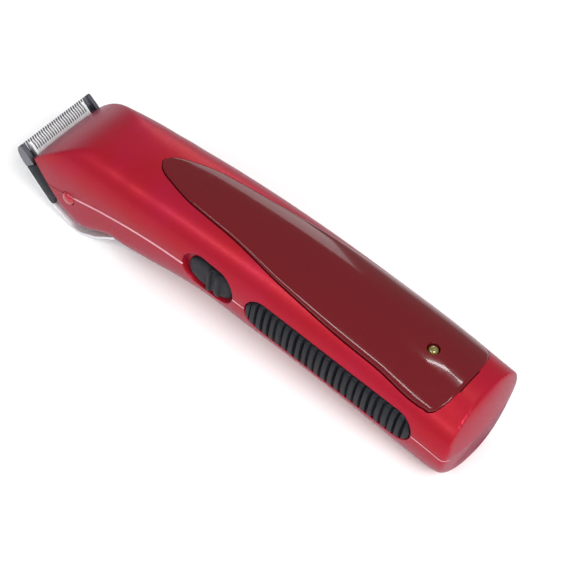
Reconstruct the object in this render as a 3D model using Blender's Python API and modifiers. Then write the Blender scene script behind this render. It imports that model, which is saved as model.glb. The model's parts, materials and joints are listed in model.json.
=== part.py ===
"""Cordless hair clipper, built as the separate pieces it comes apart into.

Every number is in millimetres until MM turns it into metres. The body frame has X running from
the comb's tips to the tail, Z up out of the deck and -Y on the switch side. All pieces hang on
one empty, which is tipped so that the clipper lies on its blade plate's heel and on its tail.
"""
import math

import bmesh
import bpy
import numpy as np
from mathutils import Matrix, Vector

MM = 0.001
GAP = 0.15                # half of the gap at the joint between the two shells

# ---- driving dimensions ------------------------------------------------------------------
REST_TILT = 5.9           # degrees that the body is tipped, tail down, when it lies on a table
TAIL_X = 195.3            # corners of the tail
TAIL_BOW = 2.0            # how far the middle of the tail stands past its corners
DECK_END = 190.4          # where the deck breaks into the sloping band of the tail
WALL = 2.3                # wall of the deck and of the belly

# station, half width, joint height, deck height, belly height, deck power, belly power
SECTIONS = [
    (2.0, 17.9, -11.5, 12.0, -9.0, 3.2, 7.0),
    (6.9, 18.1, -9.8, 13.2, -11.0, 3.2, 7.0),
    (17.5, 18.9, -6.6, 16.8, -15.0, 3.2, 7.0),
    (26.0, 19.2, -4.0, 19.3, -19.6, 3.1, 7.0),
    (30.5, 19.4, -2.4, 20.4, -20.7, 3.0, 7.0),
    (35.5, 19.5, -0.6, 21.2, -18.8, 3.0, 7.0),
    (41.0, 19.6, 1.3, 22.2, -14.4, 2.9, 7.5),
    (46.5, 19.7, 2.9, 23.0, -10.9, 2.8, 8.0),
    (51.0, 19.8, 4.2, 23.6, -10.9, 2.8, 7.0),
    (57.0, 19.9, 5.7, 24.4, -11.6, 2.7, 5.0),
    (67.0, 20.0, 7.7, 26.0, -11.4, 2.65, 3.6),
    (80.0, 20.2, 9.6, 27.6, -9.8, 2.6, 2.8),
    (113.0, 20.6, 11.8, 30.4, -7.5, 2.5, 2.6),
    (145.0, 20.8, 12.6, 31.3, -6.8, 2.35, 2.6),
    (170.0, 20.9, 13.0, 30.4, -8.0, 2.3, 2.6),
    (189.0, 20.8, 12.3, 28.0, -9.0, 2.3, 2.6),
    (196.0, 20.8, 11.7, 27.4, -9.0, 2.3, 2.6),
]
# the flat that slopes up from the front edge of the head: station, height
CHISEL = [(6.9, 0.0), (12.0, 6.2), (17.8, 11.5), (25.2, 16.8), (32.2, 20.0), (39.5, 21.9), (50.0, 24.0),
          (56.0, 26.0)]
CHISEL_END = 56.0         # behind this station the deck's own curve lies lower
CHISEL_CROWN = 0.9        # how much lower the flat is at its sides
SIDE_WALL = [(20.0, 2.3), (60.0, 2.3), (76.0, 3.6), (184.0, 3.6), (190.0, 2.3)]

# half width of the deck's inlay along its length
INLAY = [(53.4, 0.5), (54.6, 2.4), (57.0, 4.0), (62.0, 5.8), (67.0, 7.3), (72.0, 8.4), (80.0, 9.3),
         (94.0, 10.6), (107.0, 12.4), (114.0, 13.4), (124.0, 14.3), (144.0, 15.5), (160.0, 15.8),
         (180.0, 16.2), (182.6, 15.7), (184.2, 13.8), (185.4, 9.5), (185.9, 5.0)]
INLAY_PROUD = 0.6         # how far the inlay stands above the deck
INLAY_DEPTH = 1.0         # how deep its lower face lies under the deck

BLADE_ANGLE = 42.0        # slope of the blade set under the body's axis
BLADE_HALF = 18.0         # half width of the comb
MOUTH_LEVEL = 4.62        # height of the head's open face above the comb's upper plane
COMB_TEETH = 27
TOOTH_DEPTH = 6.0
TOOTH_SLOT = 0.66
CHEEK = 2.5               # width of the comb's solid outer teeth
CUTTER_TEETH = 22
CUTTER_HALF = 14.0
PLATE_HALF = 17.7
PLATE_THICK = 1.0
HOOK = (48.6, -10.0)      # pivot of the blade set: station and height

DRIVE_ANGLE = 16.0        # slope of the motor's axis
DRIVE_POINT = (12.14, -7.43)   # where that axis meets the cutter's driver
ECCENTRIC = 1.2           # throw of the eccentric pin
MOTOR_RADIUS = 11.5
MOTOR_FRONT = 39.4        # distances along the motor's axis
MOTOR_BACK = 66.4

SWITCH = (92.3, 11.6)     # middle of the switch's recess
SWITCH_LENGTH = 22.9
SWITCH_HEIGHT = 14.6
GRIP = (145.0, 12.3)      # middle of each side grip
GRIP_LENGTH = 70.6
GRIP_HEIGHT = 13.4
GRIP_RIBS = 23
BUTTON = (26.0, -5.6)     # release button: station and height
LED_X = 170.6
CELL_RADIUS = 9.1
CELL_ENDS = (112.0, 177.0)
SCREWS = {"screw_front_near": (33.5, -13.0), "screw_front_far": (33.5, 13.0),
          "screw_middle": (99.0, 0.0), "screw_rear": (183.2, 0.0)}

SIDE = Matrix.Rotation(math.radians(90), 4, "X")          # outline's x, y become X and Z
BLADE = Matrix.Rotation(math.radians(BLADE_ANGLE), 4, "Y")

for old in list(bpy.data.objects):
    bpy.data.objects.remove(old, do_unlink=True)

PARTS = bpy.data.collections.new("hair_clipper")
CUTTERS = bpy.data.collections.new("cutters")
bpy.context.scene.collection.children.link(PARTS)
bpy.context.scene.collection.children.link(CUTTERS)


# ---- materials ---------------------------------------------------------------------------
def material(name, colour, roughness, metallic=0.0):
    """A Principled material."""
    made = bpy.data.materials.new(name)
    made.use_nodes = True
    shader = made.node_tree.nodes["Principled BSDF"]
    shader.inputs["Base Color"].default_value = (*colour, 1.0)
    shader.inputs["Roughness"].default_value = roughness
    shader.inputs["Metallic"].default_value = metallic
    return made


RED = material("red_paint", (0.50, 0.02, 0.05), 0.32, 0.35)
BURGUNDY = material("burgundy_gloss", (0.12, 0.005, 0.01), 0.08)
BLACK = material("black_plastic", (0.03, 0.03, 0.035), 0.5)
RUBBER = material("dark_rubber", (0.03, 0.032, 0.036), 0.65)
STEEL = material("steel", (0.72, 0.73, 0.75), 0.25, 1.0)
DARK_STEEL = material("dark_steel", (0.16, 0.16, 0.18), 0.35, 1.0)
BRASS = material("brass", (0.75, 0.56, 0.25), 0.3, 1.0)
COPPER = material("copper", (0.75, 0.35, 0.2), 0.35, 1.0)
LENS = material("amber_lens", (0.25, 0.18, 0.03), 0.1)
BUTTON_RED = material("gloss_red", (0.55, 0.01, 0.05), 0.15)
BOARD = material("green_board", (0.02, 0.14, 0.06), 0.45)
CELL = material("blue_sleeve", (0.03, 0.10, 0.35), 0.4)
NYLON = material("white_nylon", (0.75, 0.74, 0.70), 0.5)


# ---- mesh helpers ------------------------------------------------------------------------
def spline(rows, column, x):
    """Smooth curve through one column of a table, straight past its ends."""
    xs = np.array([row[0] for row in rows])
    ys = np.array([row[column] for row in rows])
    steps = np.diff(xs)
    slopes = np.diff(ys) / steps
    tangents = np.empty_like(ys)
    tangents[1:-1] = (slopes[:-1] * steps[1:] + slopes[1:] * steps[:-1]) / (steps[1:] + steps[:-1])
    tangents[0] = slopes[0]
    tangents[-1] = slopes[-1]
    if x <= xs[0]:
        return ys[0] + (x - xs[0]) * tangents[0]
    if x >= xs[-1]:
        return ys[-1] + (x - xs[-1]) * tangents[-1]
    i = int(np.searchsorted(xs, x)) - 1
    t = (x - xs[i]) / steps[i]
    start = (2 * t**3 - 3 * t**2 + 1) * ys[i] + (t**3 - 2 * t**2 + t) * steps[i] * tangents[i]
    return start + (3 * t**2 - 2 * t**3) * ys[i + 1] + (t**3 - t**2) * steps[i] * tangents[i + 1]


def new_object(name, mesh, finish=None, place=None):
    """Link a mesh object to the parts, or to the cutters when it has no finish."""
    made = bpy.data.objects.new(name, mesh)
    if place is not None:
        made.matrix_world = place
    if finish is None:
        CUTTERS.objects.link(made)
        made.hide_render = True
        made.display_type = "WIRE"
    else:
        PARTS.objects.link(made)
        mesh.materials.append(finish)
    return made


def from_bmesh(name, bm, finish=None, place=None, smooth=False):
    """Turn a bmesh in millimetres into an object in metres."""
    bmesh.ops.scale(bm, vec=(MM, MM, MM), verts=bm.verts)
    bmesh.ops.recalc_face_normals(bm, faces=bm.faces)
    mesh = bpy.data.meshes.new(name)
    bm.to_mesh(mesh)
    bm.free()
    if smooth:
        mesh.shade_smooth()
        mesh.set_sharp_from_angle(angle=math.radians(35))
    return new_object(name, mesh, finish, place)


def at(x, y, z):
    """A place in millimetres as a matrix."""
    return Matrix.Translation(Vector((x, y, z)) * MM)


def loft(name, rings, finish=None):
    """A closed solid through rings that all have the same number of points."""
    bm = bmesh.new()
    rows = [[bm.verts.new(point) for point in ring] for ring in rings]
    count = len(rings[0])
    for row, following in zip(rows, rows[1:]):
        for i in range(count):
            j = (i + 1) % count
            bm.faces.new((row[i], row[j], following[j], following[i]))
    bm.faces.new(rows[0])
    bm.faces.new(rows[-1])
    bmesh.ops.triangulate(bm, faces=bm.faces)
    return from_bmesh(name, bm, finish, smooth=finish is not None)


def box(name, low, high, finish=None, place=None):
    """A box between two corners."""
    low = Vector(low)
    high = Vector(high)
    bm = bmesh.new()
    bmesh.ops.create_cube(bm, size=1.0)
    bmesh.ops.scale(bm, vec=high - low, verts=bm.verts)
    bmesh.ops.translate(bm, vec=(low + high) / 2, verts=bm.verts)
    return from_bmesh(name, bm, finish, place)


def rod(name, radius, low, high, finish=None, place=None, sides=24):
    """A cylinder along local Z."""
    bm = bmesh.new()
    bmesh.ops.create_cone(bm, cap_ends=True, segments=sides, radius1=radius, radius2=radius,
                          depth=high - low)
    bmesh.ops.translate(bm, vec=(0, 0, (low + high) / 2), verts=bm.verts)
    return from_bmesh(name, bm, finish, place, smooth=finish is not None)


def turned(name, profile, finish=None, place=None, sides=24, ring=False):
    """Turn a profile of (radius, height) points round local Z; a ring's profile closes on itself."""
    mesh = bpy.data.meshes.new(name)
    bm = bmesh.new()
    points = [bm.verts.new((radius * MM, 0, height * MM)) for radius, height in profile]
    for first, second in zip(points, points[1:]):
        bm.edges.new((first, second))
    if ring:
        bm.edges.new((points[-1], points[0]))
    bm.to_mesh(mesh)
    bm.free()
    made = new_object(name, mesh, finish, place)
    screw = made.modifiers.new("turn", "SCREW")
    screw.axis = "Z"
    screw.steps = sides
    screw.render_steps = sides
    screw.use_merge_vertices = True
    screw.merge_threshold = 0.000001
    return made


def slab(name, outline, thickness, finish=None, place=None):
    """An outline in local X and Y, with its thickness centred on local Z, as a welded mesh."""
    data = bpy.data.curves.new(name, "CURVE")
    data.dimensions = "2D"
    data.fill_mode = "BOTH"
    data.extrude = thickness * MM / 2
    path = data.splines.new("POLY")
    path.points.add(len(outline) - 1)
    for point, (x, y) in zip(path.points, outline):
        point.co = (x * MM, y * MM, 0, 1)
    path.use_cyclic_u = True
    curve = bpy.data.objects.new(name + "_curve", data)
    if place is not None:
        curve.matrix_world = place
    bpy.context.scene.collection.objects.link(curve)
    bpy.context.view_layer.update()
    mesh = bpy.data.meshes.new_from_object(curve.evaluated_get(bpy.context.evaluated_depsgraph_get()))
    bm = bmesh.new()
    bm.from_mesh(mesh)
    bmesh.ops.remove_doubles(bm, verts=bm.verts, dist=0.00001)
    bmesh.ops.recalc_face_normals(bm, faces=bm.faces)
    bm.to_mesh(mesh)
    bm.free()
    mesh.materials.clear()
    world = curve.matrix_world.copy()
    bpy.data.objects.remove(curve, do_unlink=True)
    return new_object(name, mesh, finish, world)


def wire(name, points, radius, finish):
    """A round wire through a list of points."""
    data = bpy.data.curves.new(name, "CURVE")
    data.dimensions = "3D"
    data.bevel_depth = radius * MM
    data.bevel_resolution = 2
    data.use_fill_caps = True
    path = data.splines.new("POLY")
    path.points.add(len(points) - 1)
    for target, point in zip(path.points, points):
        target.co = (*(Vector(point) * MM), 1)
    made = bpy.data.objects.new(name, data)
    data.materials.append(finish)
    PARTS.objects.link(made)
    return made


def boolean(target, other, operation="DIFFERENCE"):
    """Cut or join one object with another."""
    modifier = target.modifiers.new(other.name, "BOOLEAN")
    modifier.operation = operation
    modifier.solver = "EXACT"
    modifier.object = other


def round_edges(target, width, segments=1):
    """Round a piece's sharp edges."""
    bevel = target.modifiers.new("round", "BEVEL")
    bevel.width = width * MM
    bevel.segments = segments
    bevel.limit_method = "ANGLE"
    bevel.angle_limit = math.radians(40)


def stadium(centre, length, height, steps=8):
    """Outline of a slot with round ends, along local X."""
    radius = height / 2
    reach = length / 2 - radius
    points = []
    for side, turn in ((1, -90), (-1, 90)):
        for i in range(steps + 1):
            angle = math.radians(turn + 180 * i / steps)
            along = centre[0] + side * reach + radius * math.cos(angle)
            points.append((along, centre[1] + radius * math.sin(angle)))
    return points


# ---- the body's surface ------------------------------------------------------------------
def section(x):
    """Half width, joint, deck, belly and the two powers of the body at a station."""
    values = [spline(SECTIONS, column, x) for column in range(1, 7)]
    half, joint, deck, belly, deck_power, belly_power = values
    corner = 3.0
    if x > TAIL_X - corner:
        half -= 0.9 * corner * (1 - math.sqrt(max(0.0, 1 - ((x - TAIL_X + corner) / corner) ** 2)))
    under = 8.0
    if x > TAIL_X - under:
        belly += under * (1 - math.sqrt(max(0.0, 1 - ((x - TAIL_X + under) / under) ** 2)))
    return half, joint, deck, belly, deck_power, belly_power


def tail_band(x, joint):
    """Height of the band that slopes from the deck down to the joint across the tail."""
    if x <= DECK_END:
        return 99.0
    return 27.6 - (27.6 - joint - 0.8) * ((x - DECK_END) / (TAIL_X - DECK_END)) ** 1.5


def bowed(x, y, half):
    """Station of a point once the tail's bow is added."""
    ramp = min(1.0, max(0.0, (x - 170.0) / 25.0))
    return x + TAIL_BOW * ramp * ramp * (3 - 2 * ramp) * (1 - (y / half) ** 2)


def upper_ring(x, side_wall=0.0, wall=0.0, drop=0.0, steps=9):
    """Half ring of the deck, from the near side of the joint to the far side."""
    half, joint, deck, belly, power, belly_power = section(x)
    half -= side_wall
    base = joint + GAP - drop
    ring = []
    for i in range(2 * steps + 1):
        angle = math.pi * i / (2 * steps)
        y = -half * math.copysign(abs(math.cos(angle)) ** (2 / power), math.cos(angle))
        z = joint + GAP + (deck - wall - joint - GAP) * math.sin(angle) ** (2 / power)
        chisel = spline(CHISEL, 1, x - 0.75 * wall) - 0.7 * wall - CHISEL_CROWN * (y / half) ** 2
        if x < CHISEL_END:
            z = min(z, max(chisel, base))
        z = min(z, tail_band(x + wall, joint))
        if i in (0, 2 * steps):
            z = base
        ring.append((bowed(x, y, half), y, z))
    return ring


def lower_ring(x, side_wall=0.0, wall=0.0, rise=0.0, steps=8):
    """Half ring of the belly, from the near side of the joint to the far side."""
    half, joint, deck, belly, deck_power, power = section(x)
    half -= side_wall
    ring = []
    for i in range(2 * steps + 1):
        angle = math.pi * i / (2 * steps)
        y = -half * math.copysign(abs(math.cos(angle)) ** (2 / power), math.cos(angle))
        z = joint - GAP - (joint - GAP - belly - wall) * math.sin(angle) ** (2 / power)
        if i in (0, 2 * steps):
            z = joint - GAP + rise
        ring.append((bowed(x, y, half), y, z))
    return ring


def deck_height(x, y):
    """Height of the deck over a point."""
    half, joint, deck, belly, power, belly_power = section(x)
    return joint + (deck - joint) * (1 - min(0.999, abs(y) / half) ** power) ** (1 / power)


def side_face(x, z):
    """Half width of the body at a station and a height."""
    half, joint, deck, belly, power, belly_power = section(x)
    if z >= joint:
        return half * (1 - ((z - joint) / (deck - joint)) ** power) ** (1 / power)
    return half * (1 - ((joint - z) / (joint - belly)) ** belly_power) ** (1 / belly_power)


OUTER_STATIONS = [3, 6.9, 10, 13, 16, 19, 22, 25, 28, 31, 34, 37, 40, 44, 48, 52, 56, 62, 70, 80, 92, 104,
                  116, 130, 145, 160, 170, 178, 184, 188, DECK_END, 191.6, 192.8, 193.9, 194.7, 195.1,
                  TAIL_X]
INNER_STATIONS = [3, 8, 12, 16, 20, 25, 30, 35, 40, 48, 56, 66, 80, 100, 120, 145, 165, 180, 186,
                  DECK_END - WALL, 190.0, 192.0, TAIL_X - WALL]

root = bpy.data.objects.new("clipper_frame", None)
PARTS.objects.link(root)
hook = bpy.data.objects.new("blade_hook", None)
hook.location = Vector((HOOK[0], 0, HOOK[1])) * MM
PARTS.objects.link(hook)
DRIVE = at(DRIVE_POINT[0], 0, DRIVE_POINT[1]) @ Matrix.Rotation(math.radians(90 - DRIVE_ANGLE), 4, "Y")
drive = bpy.data.objects.new("drive_axis", None)
drive.matrix_world = DRIVE
PARTS.objects.link(drive)


# ---- shells ------------------------------------------------------------------------------
def inner_wall(x):
    """Thickness of the shells' sides at a station."""
    return float(np.interp(x, [row[0] for row in SIDE_WALL], [row[1] for row in SIDE_WALL]))


upper_shell = loft("upper_shell", [upper_ring(x) for x in OUTER_STATIONS], RED)
lower_shell = loft("lower_shell", [lower_ring(x) for x in OUTER_STATIONS], RED)
CAVITY_PAST = 2.0         # how far each cavity's cutter reaches past the shells' joint
upper_rings = [upper_ring(x, inner_wall(x), WALL, CAVITY_PAST, 7) for x in INNER_STATIONS]
lower_rings = [lower_ring(x, inner_wall(x), WALL, CAVITY_PAST, 6) for x in INNER_STATIONS]
boolean(upper_shell, loft("upper_cavity", upper_rings))
boolean(lower_shell, loft("lower_cavity", lower_rings))

# the screws' posts: the lower post takes the screw's head, the upper one its thread
SCREW_HEAD = 2.6
SCREW_SHANK = 1.15
HEAD_LEVEL = 6.0          # height of the screw's head above the belly
POST_RADIUS = 3.9         # of the lower post
THREAD_POST = 3.0         # radius of the upper post
for screw_name, (screw_x, screw_y) in SCREWS.items():
    joint_z = section(screw_x)[1]
    belly_z = max(section(screw_x - POST_RADIUS)[3], section(screw_x + POST_RADIUS)[3])
    deck_z = deck_height(screw_x, abs(screw_y) + THREAD_POST)
    if screw_x < 50:
        deck_z = min(deck_z, spline(CHISEL, 1, screw_x - THREAD_POST) - CHISEL_CROWN)
    spot = at(screw_x, screw_y, 0)
    lower_post = rod(screw_name + "_lower_post", POST_RADIUS, belly_z + 0.9, joint_z - GAP, place=spot,
                     sides=16)
    upper_post = rod(screw_name + "_upper_post", THREAD_POST, joint_z + GAP, deck_z - WALL + 0.9, place=spot,
                     sides=16)
    boolean(lower_shell, lower_post, "UNION")
    boolean(upper_shell, upper_post, "UNION")
    counterbore = rod(screw_name + "_counterbore", SCREW_HEAD + 0.3, belly_z - 5, belly_z + HEAD_LEVEL,
                      place=spot, sides=16)
    lower_hole = rod(screw_name + "_lower_hole", SCREW_SHANK + 0.3, belly_z, joint_z + 1, place=spot,
                     sides=12)
    upper_hole = rod(screw_name + "_upper_hole", SCREW_SHANK + 0.3, joint_z - 1, deck_z - WALL - 3,
                     place=spot, sides=12)
    boolean(lower_shell, counterbore)
    boolean(lower_shell, lower_hole)
    boolean(upper_shell, upper_hole)
    head_z = belly_z + HEAD_LEVEL - 0.3
    tip_z = min(deck_z - WALL - 3.6, joint_z + 10)
    turned(screw_name, [(0, tip_z), (0.5, tip_z), (SCREW_SHANK, tip_z - 1.5), (SCREW_SHANK, head_z),
                        (SCREW_HEAD, head_z), (SCREW_HEAD, head_z - 1.4), (1.9, head_z - 2.2),
                        (0, head_z - 2.2)], STEEL, spot, sides=16)

# the head's open face: everything in front of the blade set's seat is cut away
mouth_outline = [(-25, MOUTH_LEVEL), (22.9, MOUTH_LEVEL), (27.0, -1.2), (29.0, -40), (-25, -40)]
mouth = slab("mouth_cutter", mouth_outline, 60, place=BLADE @ SIDE)
boolean(upper_shell, mouth)
boolean(lower_shell, mouth)


# ---- inlay and lamp ----------------------------------------------------------------------
def inlay_rings(grow, low, high, steps=4):
    """Rings of a sheet that follows the deck inside the inlay's outline."""
    stations = [row[0] for row in INLAY]
    stations[0] -= grow
    stations[-1] += grow
    rings = []
    for x in stations:
        reach = spline(INLAY, 1, min(max(x, INLAY[0][0]), INLAY[-1][0])) + grow
        across = [reach * (i / steps - 1) for i in range(2 * steps + 1)]
        ring = [(x, y, deck_height(x, y) + high) for y in across]
        ring += [(x, y, deck_height(x, y) + low) for y in reversed(across)]
        rings.append(ring)
    return rings


inlay_seat = loft("inlay_seat", inlay_rings(0.35, -INLAY_DEPTH - 0.3, 4.0))
boolean(upper_shell, inlay_seat)
top_inlay = loft("top_inlay", inlay_rings(0.0, -INLAY_DEPTH, INLAY_PROUD), BURGUNDY)
lamp_top = deck_height(LED_X, 0) + INLAY_PROUD
lamp_hole = rod("lamp_hole", 2.2, lamp_top - 8, lamp_top + 3, place=at(LED_X, 0, 0), sides=20)
boolean(upper_shell, lamp_hole)
boolean(top_inlay, lamp_hole)
BOARD_TOP = 23.0
turned("status_led", [(0, lamp_top + 0.1), (0.9, lamp_top - 0.1), (1.5, lamp_top - 0.55),
                      (1.85, lamp_top - 1.4), (1.85, BOARD_TOP + 1.5), (2.3, BOARD_TOP + 1.5),
                      (2.3, BOARD_TOP + 0.3), (0, BOARD_TOP + 0.3)], LENS, at(LED_X, 0, 0), sides=20)

# ---- side grips --------------------------------------------------------------------------
GRIP_FLOOR = 19.0         # distance of the grip recess's floor from the middle plane
GRIP_PROUD = 0.35


def grip_height(x):
    """Half height of the grip at a station: straight sides with round ends."""
    radius = GRIP_HEIGHT / 2
    past = max(0.0, abs(x - GRIP[0]) - (GRIP_LENGTH / 2 - radius))
    return math.sqrt(max(0.0, radius**2 - past**2))


def grip_ring(x, rise, side):
    """D-shaped ring of the grip, with its flat face against the recess's floor."""
    reach = grip_height(x)
    heights = [GRIP[1] + reach * (i / 2 - 1) for i in range(5)]
    outer = [(x, side * (side_face(x, z) + rise), z) for z in heights]
    inner = [(x, side * (GRIP_FLOOR + 0.3), z) for z in (heights[-1], heights[0])]
    return outer + inner


def grip(name, side):
    """A grip pad with V grooves across it."""
    end = GRIP_LENGTH / 2
    pitch = (GRIP_LENGTH - 5.0) / GRIP_RIBS
    stations = [(-end + 0.08, -0.3), (-end + 0.7, 0.1)]
    for i in range(GRIP_RIBS):
        start = -end + 2.5 + i * pitch
        stations += [(start, GRIP_PROUD), (start + 0.62 * pitch, GRIP_PROUD), (start + 0.81 * pitch, -0.6)]
    stations = stations[:-1] + [(end - 0.7, 0.1), (end - 0.08, -0.3)]
    return loft(name, [grip_ring(GRIP[0] + offset, rise, side) for offset, rise in stations], RUBBER)


for grip_name, grip_side in (("grip_near", -1), ("grip_far", 1)):
    seat = slab(grip_name + "_seat", stadium(GRIP, GRIP_LENGTH + 0.8, GRIP_HEIGHT + 0.8), 10,
                place=at(0, grip_side * (GRIP_FLOOR + 5), 0) @ SIDE)
    boolean(upper_shell, seat)
    boolean(lower_shell, seat)
    grip(grip_name, grip_side)

# ---- power switch ------------------------------------------------------------------------
SWITCH_FLOOR = 17.9       # distance of the recess's floor from the middle plane
SLIDER_ENDS = (83.0, 103.0)
SLIDER_HEIGHT = 11.8
recess = slab("switch_recess", stadium(SWITCH, SWITCH_LENGTH, SWITCH_HEIGHT), 10,
              place=at(0, -SWITCH_FLOOR - 5, 0) @ SIDE)
switch_slot = box("switch_slot", (88.0, -SWITCH_FLOOR - 1, 9.2), (97.6, -14.0, 14.0))
for shell in (upper_shell, lower_shell):
    boolean(shell, recess)
    boolean(shell, switch_slot)


def switch_slider():
    """Thumb slider: a rounded pad, a tall ridge, two steps and the stem that reaches the switch."""
    middle = ((SLIDER_ENDS[0] + SLIDER_ENDS[1]) / 2, SWITCH[1])
    length = SLIDER_ENDS[1] - SLIDER_ENDS[0]
    # station from the front, how far the slider's face lies from the middle plane
    profile = [(0.15, 18.6), (0.8, 19.2), (2.2, 19.6), (7.0, 19.7), (9.2, 19.6), (9.6, 20.9), (10.8, 21.1),
               (11.2, 19.9), (12.6, 19.9), (12.9, 20.7), (14.8, 20.7), (15.1, 19.7), (18.0, 19.5),
               (19.3, 19.0), (19.85, 18.5)]
    radius = SLIDER_HEIGHT / 2
    rings = []
    for offset, face in profile:
        x = SLIDER_ENDS[0] + offset
        past = max(0.0, abs(x - middle[0]) - (length / 2 - radius))
        reach = math.sqrt(max(0.0, radius**2 - past**2))
        base = SWITCH_FLOOR + 0.3
        edge = max(face - 0.5, base + 0.1)
        rings.append([(x, -base, middle[1] - reach), (x, -edge, middle[1] - reach),
                      (x, -face, middle[1] - reach * 0.75), (x, -face, middle[1] + reach * 0.75),
                      (x, -edge, middle[1] + reach), (x, -base, middle[1] + reach)])
    made = loft("switch_slider", rings, RUBBER)
    stem = box("slider_stem", (91.0, -18.6, 10.2), (94.2, -15.4, 13.0))
    boolean(made, stem, "UNION")
    return made


switch_slider()
box("switch_lever", (91.3, -15.1, 10.4), (93.9, -11.2, 12.8), BLACK)
switch_body = box("switch_body", (84.5, -12.6, 6.2), (99.5, -6.4, 17.0), BLACK)
boolean(switch_body, box("switch_window", (88.6, -13.5, 9.9), (96.6, -10.6, 13.3)))
round_edges(switch_body, 0.4)

# ---- release button ----------------------------------------------------------------------
BUTTON_FACE = 19.6        # distance of the button's dome from the middle plane
PRESS = Matrix.Rotation(math.radians(90), 4, "X")         # local Z becomes -Y, out of the near side
button_place = at(BUTTON[0], 0, BUTTON[1]) @ PRESS
button_hole = rod("button_hole", 2.35, 14, 25, place=button_place, sides=20)
for shell in (upper_shell, lower_shell):
    boolean(shell, button_hole)
turned("release_button", [(0, BUTTON_FACE), (0.8, BUTTON_FACE - 0.18), (1.4, BUTTON_FACE - 0.6),
                          (1.85, BUTTON_FACE - 1.3), (1.95, BUTTON_FACE - 2.0), (1.95, 16.4), (3.3, 16.4),
                          (3.3, 15.4), (1.1, 15.4), (1.1, 8.6), (0, 8.6)], BUTTON_RED, button_place,
       sides=20)
spring_points = []
COIL_RADIUS = 2.1
COIL_START = -13.8        # outer end of the button's coil spring
COIL_LENGTH = 2.3
COIL_STEPS = 36           # eight steps to a turn
for i in range(COIL_STEPS + 1):
    turn = 2 * math.pi * i / 8
    inward = COIL_START + COIL_LENGTH * i / COIL_STEPS
    spring_points.append((BUTTON[0] + COIL_RADIUS * math.cos(turn), inward,
                          BUTTON[1] + COIL_RADIUS * math.sin(turn)))
wire("release_spring", spring_points, 0.22, STEEL)
button_guide = box("button_guide", (23.0, -11.1, -14.6), (28.8, -9.7, -1.4), BLACK)
boolean(button_guide, rod("guide_hole", 1.45, 5, 12, place=button_place, sides=16))

# ---- blade set: carrier, plate, comb, cutter and its driver --------------------------------
PLATE_LINE = [(6.6, -4.0), (16.0, -4.0), (24.0, -3.9)]   # along the blade, above it


def to_body(along, above):
    """Station and height in the body frame of a point in the blade set's frame."""
    angle = math.radians(BLADE_ANGLE)
    forward = along * math.cos(angle) + above * math.sin(angle)
    return (forward, above * math.cos(angle) - along * math.sin(angle))


def thickened(line, thickness):
    """Outline of a strip of even thickness under a line of points."""
    points = [Vector(point) for point in line]
    under = []
    for i, point in enumerate(points):
        ahead = points[min(i + 1, len(points) - 1)] - points[max(i - 1, 0)]
        normal = Vector((-ahead.y, ahead.x)).normalized()
        under.append(point - normal * thickness)
    return [tuple(point) for point in points] + [tuple(point) for point in reversed(under)]


HEEL = (28.4, -17.6)      # middle of the heel's bend, in the body frame
HEEL_RADIUS = 6.1
front_run = [to_body(*point) for point in PLATE_LINE]
bend = []
for step in range(7):
    angle = math.radians(228 + (300 - 228) * step / 6)
    bend.append((HEEL[0] + HEEL_RADIUS * math.cos(angle), HEEL[1] + HEEL_RADIUS * math.sin(angle)))
rear_run = [(38.2, -18.8), (42.5, -14.8), (47.1, -10.8)]
plate_outline = thickened(front_run + bend + rear_run, PLATE_THICK)
blade_plate = slab("blade_plate", plate_outline, 2 * PLATE_HALF, STEEL, SIDE)
curl = rod("plate_curl", 1.7, -6.0, 6.0, place=at(HOOK[0] - 0.7, 0, HOOK[1]) @ PRESS, sides=16)
boolean(blade_plate, curl, "UNION")
hook_slot = box("hook_slot", (44.2, -6.6, -16), (51.6, 6.6, -8.0))
boolean(lower_shell, hook_slot)
boolean(lower_shell, box("plate_groove", (43.6, -17.97, -16), (50.9, 17.97, -9.75)))

BAY_HALF = 15.5           # half width of the carrier's bay, in which the cutter runs to and fro
carrier_outline = [(8.35, -3.7), (8.35, 4.2), (21.6, 4.2), (24.9, -1.0), (24.9, -2.6), (23.0, -3.5),
                   (16.0, -3.7)]
blade_carrier = slab("blade_carrier", carrier_outline, 2 * BLADE_HALF, BLACK, BLADE @ SIDE)
boolean(blade_carrier, box("carrier_bay", (7.0, -BAY_HALF, -2.6), (22.4, BAY_HALF, 10.0), place=BLADE))
boolean(blade_carrier, box("carrier_floor_window", (10.0, -9.0, -5.0), (20.0, 9.0, 0.0), place=BLADE))

comb_outline = [(0.1, 1.25), (-0.3, 0.7), (-0.25, -0.6), (0.9, -2.2), (3.1, -3.4), (6.0, -3.7), (8.05, -3.7),
                (8.05, 1.9), (5.0, 1.9), (2.4, 1.6)]
comb_blade = slab("comb_blade", comb_outline, 2 * BLADE_HALF, DARK_STEEL, BLADE @ SIDE)
tongue = box("comb_tongue", (7.0, -13.6, -2.3), (22.0, 13.6, 0.0), place=BLADE)
boolean(comb_blade, tongue, "UNION")
channel = BLADE_HALF - CHEEK
boolean(comb_blade, box("cutter_channel", (-2.0, -channel, 0.0), (24.0, channel, 6.0), place=BLADE))
tooth_underside = slab("tooth_underside", [(-2, -0.55), (0.2, -0.7), (5.6, -1.9), (6.6, -4.4), (-2, -4.4)],
                       2 * channel, place=BLADE @ SIDE)
boolean(comb_blade, tooth_underside)


def comb_slots(name, count, half, depth, slot, start, low, high):
    """One cutter with a box for every gap between teeth."""
    bm = bmesh.new()
    pitch = 2 * half / count
    for i in range(count):
        middle = -half + (i + 0.5) * pitch
        cube = bmesh.ops.create_cube(bm, size=1.0)["verts"]
        bmesh.ops.scale(bm, vec=(depth, slot, high - low), verts=cube)
        bmesh.ops.translate(bm, vec=(start + depth / 2, middle, (low + high) / 2), verts=cube)
    return from_bmesh(name, bm, place=BLADE)


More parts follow.
